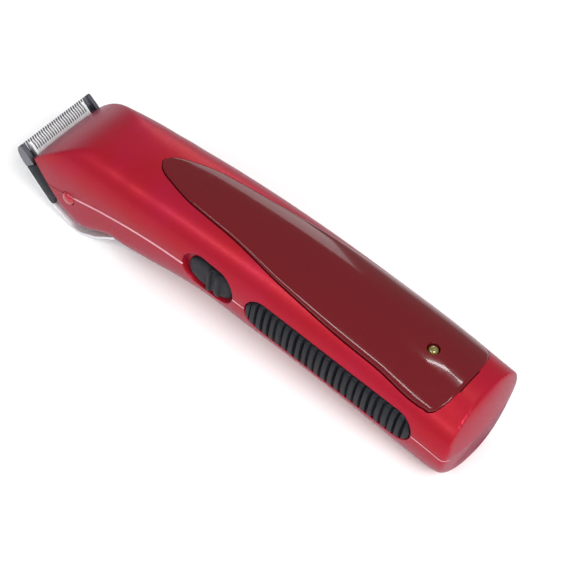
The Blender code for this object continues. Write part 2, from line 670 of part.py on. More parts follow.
comb_gaps = comb_slots("comb_gaps", COMB_TEETH + 1, channel, TOOTH_DEPTH + 2, TOOTH_SLOT, -2.0, -5.0, 3.0)
boolean(comb_blade, comb_gaps)
cutter_outline = [(0.7, 0.3), (0.7, 0.55), (2.4, 1.3), (18.6, 1.3), (18.6, 0.3)]
cutter_blade = slab("cutter_blade", cutter_outline, 2 * CUTTER_HALF, STEEL, BLADE @ SIDE)
cutter_gaps = comb_slots("cutter_gaps", CUTTER_TEETH - 1, CUTTER_HALF - 0.5, 4.6, 0.62, 0.0, -2.0, 4.0)
boolean(cutter_blade, cutter_gaps)
for corner_y in (-14.6, 7.0):
    corner_name = "cutter_corner_near" if corner_y < 0 else "cutter_corner_far"
    boolean(cutter_blade, box(corner_name, (15.8, corner_y, -1), (20, corner_y + 7.6, 3), place=BLADE))
cutter_driver = box("cutter_driver", (7.9, -5.2, 1.6), (18.4, 5.2, 4.0), BLACK, BLADE)
boolean(cutter_driver, box("driver_slot", (9.4, -1.4, 0.0), (16.9, 1.4, 6.0), place=BLADE))
round_edges(cutter_driver, 0.35)
LEAF_LINE = [(9.0, 2.2), (12.0, 3.4), (17.0, 3.7), (21.9, 3.4)]
LEAF_THICK = 0.5
LEAF_WIDTH = 2.2
LEAF_SPOT = 8.1           # clear of the driver at the end of its stroke
for sign, spring_name in ((-1, "cutter_spring_near"), (1, "cutter_spring_far")):
    leaf_place = BLADE @ at(0, sign * LEAF_SPOT, 0) @ SIDE
    slab(spring_name, thickened(LEAF_LINE, LEAF_THICK), LEAF_WIDTH, STEEL, leaf_place)
COMB_SCREW = [(0, 1.4), (1.9, 1.4), (2.2, 1.0), (2.2, 0.3), (1.2, 0.3), (1.2, -1.2), (0, -1.2)]
for sign, screw_name in ((-1, "comb_screw_near"), (1, "comb_screw_far")):
    screw_place = BLADE @ at(20.0, sign * 10.8, 0)
    turned(screw_name, COMB_SCREW, STEEL, screw_place, sides=16)
    boolean(comb_blade, rod(screw_name + "_hole", 1.5, -4, 2, place=screw_place, sides=16))

# ---- bulkhead and drive --------------------------------------------------------------------
bulkhead_outline = [(8.7, 5.2), (22.4, 5.2), (22.4, 6.4), (8.7, 6.4)]
bulkhead = slab("head_bulkhead", bulkhead_outline, 2 * 15.2, BLACK, BLADE @ SIDE)
boolean(bulkhead, box("bulkhead_window", (12.0, -4.0, 4.0), (20.4, 4.0, 8.0), place=BLADE))
seal_outline = stadium((16.2, 0.0), 8.0, 7.4)
hair_seal = slab("hair_seal", seal_outline, 1.0, RUBBER, BLADE @ at(0, 0, 5.8))
boolean(hair_seal, slab("seal_opening", stadium((15.9, 0.0), 6.6, 4.9), 4.0, place=BLADE @ at(0, 0, 5.8)))

SHAFT = 1.5
cam_profile = [(0, 12.0), (3.3, 12.0), (3.5, 11.8), (3.5, 7.6), (3.3, 7.4), (0, 7.4)]
eccentric = turned("eccentric_cam", cam_profile, BRASS, DRIVE, sides=24)
pin = rod("pin_form", 1.0, -0.2, 8.0, place=DRIVE @ at(-ECCENTRIC, 0, 0), sides=16)    # local -X points up
boolean(eccentric, pin, "UNION")
rod("drive_shaft", SHAFT, 12.3, 44.8, STEEL, DRIVE, sides=20)
bearing_profile = [(4.4, 20.0), (4.4, 16.0), (SHAFT + 0.3, 16.0), (SHAFT + 0.3, 20.0)]
turned("drive_bearing", bearing_profile, STEEL, DRIVE, sides=24, ring=True)
bearing_bracket = box("bearing_bracket", (-6.5, -7.0, 16.2), (6.5, 7.0, 19.8), BLACK, DRIVE)
boolean(bearing_bracket, rod("bearing_seat", 4.7, 14, 22, place=DRIVE, sides=24))
round_edges(bearing_bracket, 0.6)
turned("motor_can", [(11.2, MOTOR_BACK), (MOTOR_RADIUS, MOTOR_BACK - 0.3), (MOTOR_RADIUS, MOTOR_FRONT + 0.8),
                     (MOTOR_RADIUS - 0.8, MOTOR_FRONT), (3.4, MOTOR_FRONT), (3.4, MOTOR_FRONT - 1.4),
                     (SHAFT + 0.3, MOTOR_FRONT - 1.4), (SHAFT + 0.3, MOTOR_FRONT + 1.0),
                     (MOTOR_RADIUS - 1.0, MOTOR_FRONT + 1.0), (MOTOR_RADIUS - 1.0, MOTOR_BACK)],
       STEEL, DRIVE, sides=28, ring=True)
turned("motor_magnet", [(10.2, MOTOR_BACK - 2), (10.2, MOTOR_FRONT + 3), (8.4, MOTOR_FRONT + 3),
                        (8.4, MOTOR_BACK - 2)], DARK_STEEL, DRIVE, sides=24, ring=True)
turned("motor_rotor", [(0, MOTOR_BACK - 3), (7.6, MOTOR_BACK - 3), (7.6, MOTOR_FRONT + 5.7),
                       (0, MOTOR_FRONT + 5.7)], COPPER, DRIVE, sides=20)
turned("motor_end_cap", [(0, MOTOR_BACK + 4.4), (9.6, MOTOR_BACK + 4.4), (10.6, MOTOR_BACK + 3.6),
                         (10.6, MOTOR_BACK + 0.3), (0, MOTOR_BACK + 0.3)], NYLON, DRIVE, sides=24)
cradle = box("motor_cradle", (3.0, -9.0, MOTOR_FRONT + 4), (13.4, 9.0, MOTOR_FRONT + 12), BLACK, DRIVE)
boolean(cradle, rod("cradle_seat", MOTOR_RADIUS + 0.3, MOTOR_FRONT, MOTOR_BACK, place=DRIVE, sides=28))

# ---- battery, board and charging contacts ----------------------------------------------------
CELL_Z = 8.6
ALONG = Matrix.Rotation(math.radians(90), 4, "Y")         # local Z becomes X
cell_place = at(0, 0, CELL_Z) @ ALONG
turned("battery_cell", [(0, CELL_ENDS[1]), (2.8, CELL_ENDS[1]), (2.8, CELL_ENDS[1] - 1.2),
                        (CELL_RADIUS - 0.7, CELL_ENDS[1] - 1.2), (CELL_RADIUS, CELL_ENDS[1] - 1.9),
                        (CELL_RADIUS, CELL_ENDS[0] + 0.6), (CELL_RADIUS - 0.6, CELL_ENDS[0]),
                        (0, CELL_ENDS[0])], CELL, cell_place, sides=28)
holder = box("battery_holder", (114.0, -9.3, CELL_Z - 10.8), (174.0, 9.3, CELL_Z - 4.2), BLACK)
boolean(holder, rod("cell_bed", CELL_RADIUS + 0.3, 105, 185, place=cell_place, sides=28))
box("battery_tab_front", (110.9, -4.5, CELL_Z - 5), (111.7, 4.5, CELL_Z + 6), STEEL)
box("battery_tab_rear", (177.3, -4.5, CELL_Z - 5), (178.1, 4.5, CELL_Z + 6), STEEL)
box("circuit_board", (120.0, -9.5, BOARD_TOP - 1.6), (179.4, 9.5, BOARD_TOP), BOARD)
box("charge_chip", (150.0, -4.0, BOARD_TOP - 3.1), (158.0, 4.0, BOARD_TOP - 1.9), BLACK)
for contact_name, contact_y in (("charge_contact_near", -6.5), ("charge_contact_far", 6.5)):
    belly_z = section(178.0)[3]
    window = box(contact_name + "_window", (175.6, contact_y - 2.0, -14), (180.4, contact_y + 2.0, -4))
    boolean(lower_shell, window)
    box(contact_name, (176.0, contact_y - 1.6, belly_z + 1.1), (180.0, contact_y + 1.6, belly_z + 3.6),
        BRASS)

# ---- rest: the plate's heel and a flat cut under the tail lie in one plane --------------------
heel_bottom = (HEEL[0] + math.sin(math.radians(REST_TILT)) * (HEEL_RADIUS + PLATE_THICK),
               HEEL[1] - math.cos(math.radians(REST_TILT)) * (HEEL_RADIUS + PLATE_THICK))
flat_place = at(heel_bottom[0], 0, heel_bottom[1]) @ Matrix.Rotation(math.radians(-REST_TILT), 4, "Y")
boolean(lower_shell, box("tail_flat", (120, -30, -10), (190, 30, 0), place=flat_place))

BLADE_SET = ("blade_plate", "blade_carrier", "comb_blade", "cutter_blade", "cutter_driver",
             "cutter_spring_near", "cutter_spring_far", "comb_screw_near", "comb_screw_far")
TURNING = ("eccentric_cam", "drive_shaft", "motor_rotor")


def hang(child, parent):
    """Parent one object to another without moving it."""
    bpy.context.view_layer.update()
    child.parent = parent
    child.matrix_parent_inverse = parent.matrix_world.inverted()


hang(hook, root)
hang(drive, root)
for piece in list(PARTS.objects) + list(CUTTERS.objects):
    if piece.parent or piece is root:
        continue
    if piece.name in BLADE_SET:
        hang(piece, hook)
    elif piece.name in TURNING:
        hang(piece, drive)
    else:
        hang(piece, root)


def settle():
    """Tip the clipper and set it down with the middle of its base on the origin."""
    root.rotation_euler = (0, math.radians(REST_TILT), 0)
    bpy.context.view_layer.update()
    graph = bpy.context.evaluated_depsgraph_get()
    points = []
    for thing in PARTS.objects:
        if thing.type == "EMPTY":
            continue
        solid = thing.evaluated_get(graph)
        mesh = solid.to_mesh()
        points += [solid.matrix_world @ vertex.co for vertex in mesh.vertices]
        solid.to_mesh_clear()
    cloud = np.array(points)
    low = cloud.min(axis=0)
    high = cloud.max(axis=0)
    root.location = (-(low[0] + high[0]) / 2, -(low[1] + high[1]) / 2, -low[2])


settle()
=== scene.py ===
"""Looks of the cordless clipper: fine shells, inlay, grips, blade set, materials, light and camera.

Shapes are worked out in the clipper's own body frame, in millimetres: X from the comb's tips to the
tail, Z out of the deck and -Y on the switch side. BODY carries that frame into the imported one.
"""
import collections
import json
import math

import bmesh
import bpy
import numpy as np
from mathutils import Matrix, Vector
from mathutils.bvhtree import BVHTree


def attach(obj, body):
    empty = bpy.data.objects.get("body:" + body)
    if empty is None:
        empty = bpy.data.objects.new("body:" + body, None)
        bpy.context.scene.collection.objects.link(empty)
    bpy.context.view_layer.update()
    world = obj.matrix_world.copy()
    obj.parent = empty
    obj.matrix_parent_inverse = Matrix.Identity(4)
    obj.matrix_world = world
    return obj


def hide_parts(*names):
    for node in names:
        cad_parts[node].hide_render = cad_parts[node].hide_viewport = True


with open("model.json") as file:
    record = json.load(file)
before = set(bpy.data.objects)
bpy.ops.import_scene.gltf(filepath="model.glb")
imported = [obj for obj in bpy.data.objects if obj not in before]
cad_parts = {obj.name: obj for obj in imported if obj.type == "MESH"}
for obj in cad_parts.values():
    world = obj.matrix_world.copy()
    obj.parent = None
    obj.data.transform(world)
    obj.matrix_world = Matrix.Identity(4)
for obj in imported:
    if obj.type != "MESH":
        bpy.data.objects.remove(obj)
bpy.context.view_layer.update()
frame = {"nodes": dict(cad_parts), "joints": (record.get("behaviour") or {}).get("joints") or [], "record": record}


MM = 0.001
# half of the gap between the two shells
GAP = 0.15
REST_TILT = math.radians(5.9)
HOOK = Vector((48.6, 0.0, -10.0)) * MM
hinge = next(joint for joint in frame["joints"] if joint["name"] == "blade_hinge")
TIP = Matrix.Rotation(REST_TILT, 4, "Y")
BODY = Matrix.Translation(Vector(hinge["pos_m"]) - TIP.to_3x3() @ HOOK) @ TIP
# local Z turned to the switch side
PRESS = Matrix.Rotation(math.radians(90), 4, "X")
# the blade set's frame: X back along the comb from its tips, Z up from the comb to the cutter
BLADE_ANGLE = math.radians(42.0)
BLADE = Matrix.Rotation(BLADE_ANGLE, 4, "Y")
# how many times finer the curves are cut
FINE = 2

# ---- the body's driving dimensions, as in the part ----------------------------------------
TAIL_X = 195.3
TAIL_BOW = 2.0
BOW_START = 170.0
BOW_LENGTH = 25.0
TAIL_CORNER = 3.0
TAIL_CORNER_SHARE = 0.9
TAIL_UNDER = 8.0
DECK_END = 190.4
BAND_START = 180.0
BAND_TOP = 27.6
BAND_EDGE = 0.8
WALL = 2.3
# how far a cavity runs past the joint
CAVITY_OVERLAP = 2.0
# station from which the joint's chamfer takes the pale painted highlight
HIGHLIGHT_FROM = 27.5
# share of the half width past which the superellipse is too steep to use
STEEP = 0.999
# station, half width, joint height, deck height, belly height, deck power, belly power
SECTIONS = [
    (2.0, 17.9, -11.5, 12.0, -9.0, 3.2, 7.0),
    (6.9, 18.1, -9.8, 13.2, -11.0, 3.2, 7.0),
    (17.5, 18.9, -6.6, 16.8, -15.0, 3.2, 7.0),
    (26.0, 19.2, -4.0, 19.3, -19.6, 3.1, 7.0),
    (30.5, 19.4, -2.4, 20.4, -20.7, 3.0, 7.0),
    (35.5, 19.5, -0.6, 21.2, -18.8, 3.0, 7.0),
    (41.0, 19.6, 1.3, 22.2, -14.4, 2.9, 7.5),
    (46.5, 19.7, 2.9, 23.0, -10.9, 2.8, 8.0),
    (51.0, 19.8, 4.2, 23.6, -10.9, 2.8, 7.0),
    (57.0, 19.9, 5.7, 24.4, -11.6, 2.7, 5.0),
    (67.0, 20.0, 7.7, 26.0, -11.4, 2.65, 3.6),
    (80.0, 20.2, 9.6, 27.6, -9.8, 2.6, 2.8),
    (113.0, 20.6, 11.8, 30.4, -7.5, 2.5, 2.6),
    (145.0, 20.8, 12.6, 31.3, -6.8, 2.35, 2.6),
    (170.0, 20.9, 13.0, 30.4, -8.0, 2.3, 2.6),
    (189.0, 20.8, 12.3, 28.0, -9.0, 2.3, 2.6),
    (196.0, 20.8, 11.7, 27.4, -9.0, 2.3, 2.6),
]
# station and height of the slope from the blade set up to the deck
CHISEL = [(6.9, 0.0), (12.0, 6.2), (17.8, 11.5), (25.2, 16.8), (32.2, 20.0), (39.5, 21.9),
          (50.0, 24.0), (56.0, 26.0)]
CHISEL_CROWN = 0.9
CHISEL_END = 60
# station and thickness of the sides
SIDE_WALL = [(20.0, 2.3), (60.0, 2.3), (76.0, 3.6), (184.0, 3.6), (190.0, 2.3)]
# station and half width of the glossy inlay
INLAY = [(53.4, 0.5), (54.6, 2.4), (57.0, 4.0), (62.0, 5.8), (67.0, 7.3), (72.0, 8.4), (80.0, 9.3),
         (94.0, 10.6), (107.0, 12.4), (114.0, 13.4), (124.0, 14.3), (144.0, 15.5), (160.0, 15.8),
         (180.0, 16.2), (182.6, 15.7), (184.2, 13.8), (185.4, 9.5), (185.9, 5.0)]
INLAY_PROUD = 0.6
INLAY_EDGE = 0.12
INLAY_ROUNDING = 0.9
SEAT_GAP = 0.35
SEAT_LIP = 0.22
SEAT_DEPTH = 1.3
MOUTH_LEVEL = 4.62
BLADE_HALF = 18.0
SWITCH = (92.3, 11.6)
SWITCH_LENGTH = 22.9
SWITCH_HEIGHT = 14.6
SWITCH_FLOOR = 17.9
SLIDER_START = 83.0
SLIDER_LENGTH = 20.0
SLIDER_HEIGHT = 11.8
GRIP = (145.0, 12.3)
GRIP_LENGTH = 70.6
GRIP_HEIGHT = 13.4
GRIP_FLOOR = 19.0
GRIP_RIBS = 23
GRIP_CLEARANCE = 0.8
GROOVE_DEPTH = 1.25
# share of a rib's pitch that is left before its groove starts
GROOVE_FROM = 0.62
PLAIN_END = 2.0
BUTTON = (26.0, -5.6)
BUTTON_FACE = 20.6
BUTTON_RADIUS = 2.8
BUTTON_HOLE = 3.0
LED_X = 170.6
LAMP_RADIUS = 1.85
LAMP_HOLE = 2.2
DOME_STEPS = 8
SCREWS = ((33.5, -13.0), (33.5, 13.0), (99.0, 0.0), (183.2, 0.0))
COUNTERBORE_RADIUS = 2.9
COUNTERBORE_DEPTH = 4.5
CONTACTS = (-6.5, 6.5)
HEEL = (28.4, -17.6)
HEEL_RADIUS = 6.1
PLATE_HALF = 17.7
PLATE_THICK = 1.0
CURL = (47.9, -10.0)
CURL_RADIUS = 1.7
COMB_GAPS = 30
COMB_GAP_HALF = 0.35
CHEEK_WIDTH = 1.5
CUTTER_GAPS = 24
CUTTER_PITCH = 1.1
CUTTER_GAP_START = -13.2
CUTTER_GAP = (4.6, 0.7, 6.0)
CUTTER_HALF = 14.0
CARRIER_BAY = 15.5


# ---- materials -----------------------------------------------------------------------------
class Finish:
    """A Principled material and short ways to add nodes to it."""

    def __init__(self, name, colour, roughness, metallic=0.0, **settings):
        self.material = bpy.data.materials.new(name)
        self.material.use_nodes = True
        self.tree = self.material.node_tree
        self.shader = self.tree.nodes["Principled BSDF"]
        self.shader.inputs["Base Color"].default_value = (*colour, 1.0)
        self.shader.inputs["Roughness"].default_value = roughness
        self.shader.inputs["Metallic"].default_value = metallic
        for label, value in settings.items():
            self.shader.inputs[label.replace("_", " ")].default_value = value
        self.place = self.tree.nodes.new("ShaderNodeTexCoord").outputs["Object"]

    def noise(self, scale, detail=3.0, stretch=None):
        """A noise in object space, stretched along an axis if asked."""
        made = self.tree.nodes.new("ShaderNodeTexNoise")
        made.inputs["Scale"].default_value = scale
        made.inputs["Detail"].default_value = detail
        source = self.place
        if stretch is not None:
            mapping = self.tree.nodes.new("ShaderNodeMapping")
            mapping.inputs["Scale"].default_value = stretch
            self.tree.links.new(source, mapping.inputs["Vector"])
            source = mapping.outputs["Vector"]
        self.tree.links.new(source, made.inputs["Vector"])
        return made.outputs["Fac"]

    def ramp(self, source, stops):
        """A colour ramp over a value."""
        made = self.tree.nodes.new("ShaderNodeValToRGB")
        while len(made.color_ramp.elements) < len(stops):
            made.color_ramp.elements.new(0.5)
        for element, (position, colour) in zip(made.color_ramp.elements, stops):
            element.position = position
            element.color = (*colour, 1.0)
        self.tree.links.new(source, made.inputs["Fac"])
        return made.outputs["Color"]

    def spread(self, source, low, high, socket):
        """Send a 0..1 value, spread over a range, to one of the shader's sockets."""
        made = self.tree.nodes.new("ShaderNodeMapRange")
        made.inputs["From Min"].default_value = 0.3
        made.inputs["From Max"].default_value = 0.7
        made.inputs["To Min"].default_value = low
        made.inputs["To Max"].default_value = high
        self.tree.links.new(source, made.inputs["Value"])
        self.tree.links.new(made.outputs["Result"], self.shader.inputs[socket])

    def mix(self, source, first, second):
        """Mix two colours, or a socket and a colour, by a value."""
        made = self.tree.nodes.new("ShaderNodeMix")
        made.data_type = "RGBA"
        for socket, colour in ((made.inputs[6], first), (made.inputs[7], second)):
            if isinstance(colour, tuple):
                socket.default_value = (*colour, 1.0)
            else:
                self.tree.links.new(colour, socket)
        self.tree.links.new(source, made.inputs["Factor"])
        return made.outputs[2]

    def facing(self, blend):
        """How far the surface turns away from the eye."""
        made = self.tree.nodes.new("ShaderNodeLayerWeight")
        made.inputs["Blend"].default_value = blend
        return made.outputs["Facing"]

    def colour(self, socket):
        """Use a socket as the base colour."""
        self.tree.links.new(socket, self.shader.inputs["Base Color"])

    def bump(self, source, distance, strength=1.0):
        """Raise the surface by a value; distance in metres."""
        made = self.tree.nodes.new("ShaderNodeBump")
        made.inputs["Distance"].default_value = distance
        made.inputs["Strength"].default_value = strength
        self.tree.links.new(source, made.inputs["Height"])
        self.tree.links.new(made.outputs["Normal"], self.shader.inputs["Normal"])


def red_paint():
    """Satin metallic crimson that turns a darker mauve where the surface is seen at a grazing angle, a painted
    reflection.
    """
    made = Finish("red_paint", (0.50, 0.015, 0.035), 0.38, 0.3, Specular_IOR_Level=0.12,
                  Coat_Weight=0.04, Coat_Roughness=0.2)
    flake = made.noise(5200, 1.0)
    cloud = made.noise(60, 2.0)
    base = made.mix(flake, (0.28, 0.006, 0.014), (0.42, 0.012, 0.024))
    blotch = made.ramp(cloud, [(0.35, (0, 0, 0)), (0.75, (0.35, 0.35, 0.35))])
    base = made.mix(blotch, base, (0.38, 0.010, 0.060))
    # painted reflection: the colour leans to a darker mauve as the surface turns away from the eye
    grazing_reflection = made.ramp(made.facing(0.5), [(0.45, (0, 0, 0)), (1.0, (1, 1, 1))])
    made.colour(made.mix(grazing_reflection, base, (0.21, 0.030, 0.070)))
    made.spread(made.noise(900, 2.0), 0.33, 0.42, "Roughness")
    made.bump(made.noise(2600, 2.0), 0.00001, 0.5)
    return made.material


def joint_paint():
    """Painted highlight: the pale pink line where light catches the chamfer along the shells' joint."""
    made = Finish("joint_paint", (0.80, 0.36, 0.42), 0.3, 0.0, Coat_Weight=0.3)
    made.colour(made.mix(made.noise(400, 2.0), (0.60, 0.24, 0.29), (0.76, 0.42, 0.46)))
    return made.material


def burgundy():
    """Deep glossy dark red."""
    made = Finish("burgundy_gloss", (0.12, 0.004, 0.008), 0.12, 0.0, Specular_IOR_Level=0.2,
                  Coat_Weight=0.3, Coat_Roughness=0.02)
    flake = made.noise(4200, 1.0)
    made.colour(made.mix(flake, (0.075, 0.003, 0.005), (0.150, 0.006, 0.010)))
    made.spread(made.noise(300, 2.0), 0.10, 0.16, "Roughness")
    return made.material


def plastic(name, dark, light, roughness, grain=1500, depth=0.00002, **settings):
    """Moulded plastic with a fine grain."""
    made = Finish(name, dark, roughness, 0.0, **settings)
    made.colour(made.mix(made.noise(grain / 4, 3.0), dark, light))
    made.spread(made.noise(grain / 3, 2.0), roughness - 0.06, roughness + 0.08, "Roughness")
    made.bump(made.noise(grain, 3.0), depth, 0.6)
    return made.material


def metal(name, dark, light, roughness, stretch=(1, 40, 40), depth=0.000008, metallic=1.0):
    """Metal with grinding marks along one axis."""
    made = Finish(name, light, roughness, metallic)
    lines = made.noise(120, 4.0, stretch)
    made.colour(made.mix(lines, dark, light))
    made.spread(lines, roughness - 0.07, roughness + 0.1, "Roughness")
    made.bump(lines, depth, 0.5)
    return made.material


RED = red_paint()
JOINT_HIGHLIGHT = joint_paint()
BURGUNDY = burgundy()
BUTTON_RED = plastic("gloss_red", (0.33, 0.006, 0.022), (0.42, 0.010, 0.030), 0.2, 800, 0.000004,
                     Coat_Weight=0.3)
RUBBER = plastic("grip_rubber", (0.008, 0.009, 0.012), (0.015, 0.016, 0.021), 0.46, 3000,
                 Specular_IOR_Level=0.14)
BLACK = plastic("black_plastic", (0.006, 0.007, 0.011), (0.011, 0.012, 0.018), 0.40, 2500,
                Specular_IOR_Level=0.1)
PLATE = metal("plate_steel", (0.62, 0.63, 0.66), (0.80, 0.81, 0.84), 0.42, (1, 30, 1), metallic=0.6)
COMB = metal("comb_steel", (0.10, 0.10, 0.12), (0.22, 0.22, 0.25), 0.38, (1, 30, 1))
CUTTER = metal("cutter_steel", (0.72, 0.72, 0.73), (0.90, 0.90, 0.91), 0.40, (1, 30, 1),
               metallic=0.5)
BRASS = metal("brass", (0.60, 0.42, 0.16), (0.80, 0.60, 0.28), 0.28)
COPPER = metal("copper_winding", (0.45, 0.18, 0.08), (0.75, 0.36, 0.20), 0.35, (60, 1, 1), 0.00005)
NYLON = plastic("white_nylon", (0.62, 0.61, 0.57), (0.78, 0.77, 0.73), 0.45)
CELL = plastic("cell_sleeve", (0.015, 0.06, 0.25), (0.03, 0.10, 0.36), 0.30, 500)
BOARD = plastic("circuit_green", (0.01, 0.09, 0.035), (0.02, 0.16, 0.06), 0.40, 700)


def amber_lens():
    """A lens of tinted resin over a dark lamp."""
    made = Finish("amber_lens", (0.20, 0.13, 0.02), 0.08, 0.0, Coat_Weight=1.0,
                  Transmission_Weight=0.35)
    made.colour(made.mix(made.noise(700, 2.0), (0.13, 0.10, 0.015), (0.28, 0.21, 0.04)))
    return made.material


LENS = amber_lens()
SLOTS = {
    "red_paint": RED, "burgundy_gloss": BURGUNDY, "gloss_red": BUTTON_RED, "amber_lens": LENS,
    "grip_rubber": RUBBER, "black_plastic": BLACK, "plate_steel": PLATE, "comb_steel": COMB,
    "cutter_steel": CUTTER, "brass": BRASS, "copper_winding": COPPER, "white_nylon": NYLON,
    "cell_sleeve": CELL, "circuit_green": BOARD,
}
for entry in frame["record"]["subparts"]:
    shown = frame["nodes"][entry["node"]].data
    shown.materials.clear()
    shown.materials.append(SLOTS[entry["material_slot"]])


# ---- curves and meshes ---------------------------------------------------------------------
def spline(rows, column, x):
    """Smooth curve through one column of a table, straight past its ends."""
    xs = np.array([row[0] for row in rows])
    ys = np.array([row[column] for row in rows])
    steps = np.diff(xs)
    slopes = np.diff(ys) / steps
    tangents = np.empty_like(ys)
    tangents[1:-1] = (slopes[:-1] * steps[1:] + slopes[1:] * steps[:-1]) / (steps[1:] + steps[:-1])
    tangents[0] = slopes[0]
    tangents[-1] = slopes[-1]
    if x <= xs[0]:
        return ys[0] + (x - xs[0]) * tangents[0]
    if x >= xs[-1]:
        return ys[-1] + (x - xs[-1]) * tangents[-1]
    i = int(np.searchsorted(xs, x)) - 1
    t = (x - xs[i]) / steps[i]
    start = (2 * t**3 - 3 * t**2 + 1) * ys[i] + (t**3 - 2 * t**2 + t) * steps[i] * tangents[i]
    return start + (3 * t**2 - 2 * t**3) * ys[i + 1] + (t**3 - t**2) * steps[i] * tangents[i + 1]


Section = collections.namedtuple("Section", "half joint deck belly deck_power belly_power")


def rounding(x, radius):
    """How far a quarter round that ends at the tail has fallen away at a station, from 0 to 1."""
    if x <= TAIL_X - radius:
        return 0.0
    return 1 - math.sqrt(max(0.0, 1 - ((x - TAIL_X + radius) / radius) ** 2))


def section(x):
    """The body's measures at a station: heights, half width and the powers of its curves."""
    form = Section(*(spline(SECTIONS, column, x) for column in range(1, 7)))
    return form._replace(
        half=form.half - TAIL_CORNER_SHARE * TAIL_CORNER * rounding(x, TAIL_CORNER),
        belly=form.belly + TAIL_UNDER * rounding(x, TAIL_UNDER))


def tail_band(x, joint):
    """Height of the band that slopes from the deck down to the joint across the tail."""
    past = max(0.0, (x - DECK_END) / (TAIL_X - DECK_END))
    slope = (BAND_TOP - joint - BAND_EDGE) * past**1.5
    return BAND_TOP - slope + max(0.0, DECK_END - x) * 1.5


def bowed(x, y, half):
    """Station of a point once the tail's bow is added."""
    ramp = min(1.0, max(0.0, (x - BOW_START) / BOW_LENGTH))
    return x + TAIL_BOW * ramp * ramp * (3 - 2 * ramp) * (1 - (y / half) ** 2)


def soft_min(a, b, width):
    """The lower of two heights, rounded where they cross."""
    mix = np.clip(0.5 + 0.5 * (b - a) / width, 0, 1)
    return b * (1 - mix) + a * mix - width * mix * (1 - mix)


def spaced(ys, zs, count):
    """Points at even distances along a curve."""
    length = np.concatenate([[0], np.cumsum(np.hypot(np.diff(ys), np.diff(zs)))])
    at = np.linspace(0, length[-1], count)
    return np.interp(at, length, ys), np.interp(at, length, zs)


ANGLES = np.linspace(0, math.pi, 601)
COS = np.cos(ANGLES)
SIN = np.sin(ANGLES)


def half_ring(x, ys, zs, half, base, away, overlap, count, lip):
    """Points of a half ring: a cavity's runs past the joint, a skin's has a small lip along it."""
    if overlap:
        ys, zs = spaced(ys, zs, count)
        zs[0] = zs[-1] = base - away * overlap
    else:
        ys, zs = spaced(ys, zs, count - 2)
        ys = np.concatenate([[-half + lip], ys, [half - lip]])
        zs = np.concatenate([[base], zs, [base]])
        zs[1] = zs[-2] = base + away * lip
        ys[1], ys[-2] = -half, half
    return [(bowed(x, y, half), y, z) for y, z in zip(ys, zs)]


def upper_ring(x, side_wall=0.0, wall=0.0, overlap=0.0, count=33, lip=0.0):
    """Half ring of the deck, from the near side of the joint to the far side."""
    form = section(x)
    half = form.half - side_wall
    base = form.joint + GAP
    ys = -half * np.sign(COS) * np.abs(COS) ** (2 / form.deck_power)
    zs = base + (form.deck - wall - base) * SIN ** (2 / form.deck_power)
    if x < CHISEL_END:
        slope = spline(CHISEL, 1, x - 0.75 * wall) - 0.7 * wall
        slope = slope - CHISEL_CROWN * (ys / half) ** 2
        zs = soft_min(zs, np.maximum(slope, base - 3), 0.7)
    if x > BAND_START:
        zs = soft_min(zs, np.full_like(zs, tail_band(x + wall, form.joint)), 0.35)
    return half_ring(x, ys, np.maximum(zs, base), half, base, 1, overlap, count, lip)


def lower_ring(x, side_wall=0.0, wall=0.0, overlap=0.0, count=33, lip=0.0):
    """Half ring of the belly, from the near side of the joint to the far side."""
    form = section(x)
    half = form.half - side_wall
    base = form.joint - GAP
    ys = -half * np.sign(COS) * np.abs(COS) ** (2 / form.belly_power)
    zs = base - (base - form.belly - wall) * SIN ** (2 / form.belly_power)
    return half_ring(x, ys, zs, half, base, -1, overlap, count, lip)


def curved(share, power):
    """What is left of a superellipse's other axis at a share of the first one."""
    return (1 - min(STEEP, share) ** power) ** (1 / power)


def deck_height(x, y):
    """Height of the deck over a point."""
    form = section(x)
    return form.joint + (form.deck - form.joint) * curved(abs(y) / form.half, form.deck_power)


def side_face(x, z):
    """Half width of the body at a station and a height."""
    form = section(x)
    if z >= form.joint:
        return form.half * curved((z - form.joint) / (form.deck - form.joint), form.deck_power)
    return form.half * curved((form.joint - z) / (form.joint - form.belly), form.belly_power)


def link(name, mesh):
    """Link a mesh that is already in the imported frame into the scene."""
    made = bpy.data.objects.new(name, mesh)
    bpy.context.scene.collection.objects.link(made)
    return made


def from_bmesh(name, bm, local=Matrix.Identity(4)):
    """Turn a bmesh in millimetres, placed in the body frame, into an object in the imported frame."""
    bmesh.ops.scale(bm, vec=(MM, MM, MM), verts=bm.verts)
    bmesh.ops.transform(bm, matrix=BODY @ local, verts=bm.verts)
    bmesh.ops.recalc_face_normals(bm, faces=bm.faces)
    mesh = bpy.data.meshes.new(name)
    bm.to_mesh(mesh)
    bm.free()
    return link(name, mesh)


def loft(name, rings, triangulate=False, pale=False):
    """A closed solid through rings that all have the same number of points."""
    bm = bmesh.new()
    rows = [[bm.verts.new(point) for point in ring] for ring in rings]
    count = len(rings[0])
    for row, following in zip(rows, rows[1:]):
        for i in range(count):
            j = (i + 1) % count
            face = bm.faces.new((row[i], row[j], following[j], following[i]))
            face.smooth = True
            # the chamfer faces along the joint take the pale material, a painted highlight
            if pale and i in (0, count - 2) and row[0].co.x > HIGHLIGHT_FROM:
                face.material_index = 1
    bm.faces.new(rows[0])
    bm.faces.new(rows[-1])
    if triangulate:
        bmesh.ops.triangulate(bm, faces=bm.faces)
    return from_bmesh(name, bm)


def box(name, low, high, local=Matrix.Identity(4)):
    """A box between two corners."""
    low = Vector(low)
    high = Vector(high)
    bm = bmesh.new()
    bmesh.ops.create_cube(bm, size=1.0)
    bmesh.ops.scale(bm, vec=high - low, verts=bm.verts)
    bmesh.ops.translate(bm, vec=(low + high) / 2, verts=bm.verts)
    return from_bmesh(name, bm, local)


def at(x, y, z):
    """A place in millimetres as a matrix."""
    return Matrix.Translation(Vector((x, y, z)) * MM)


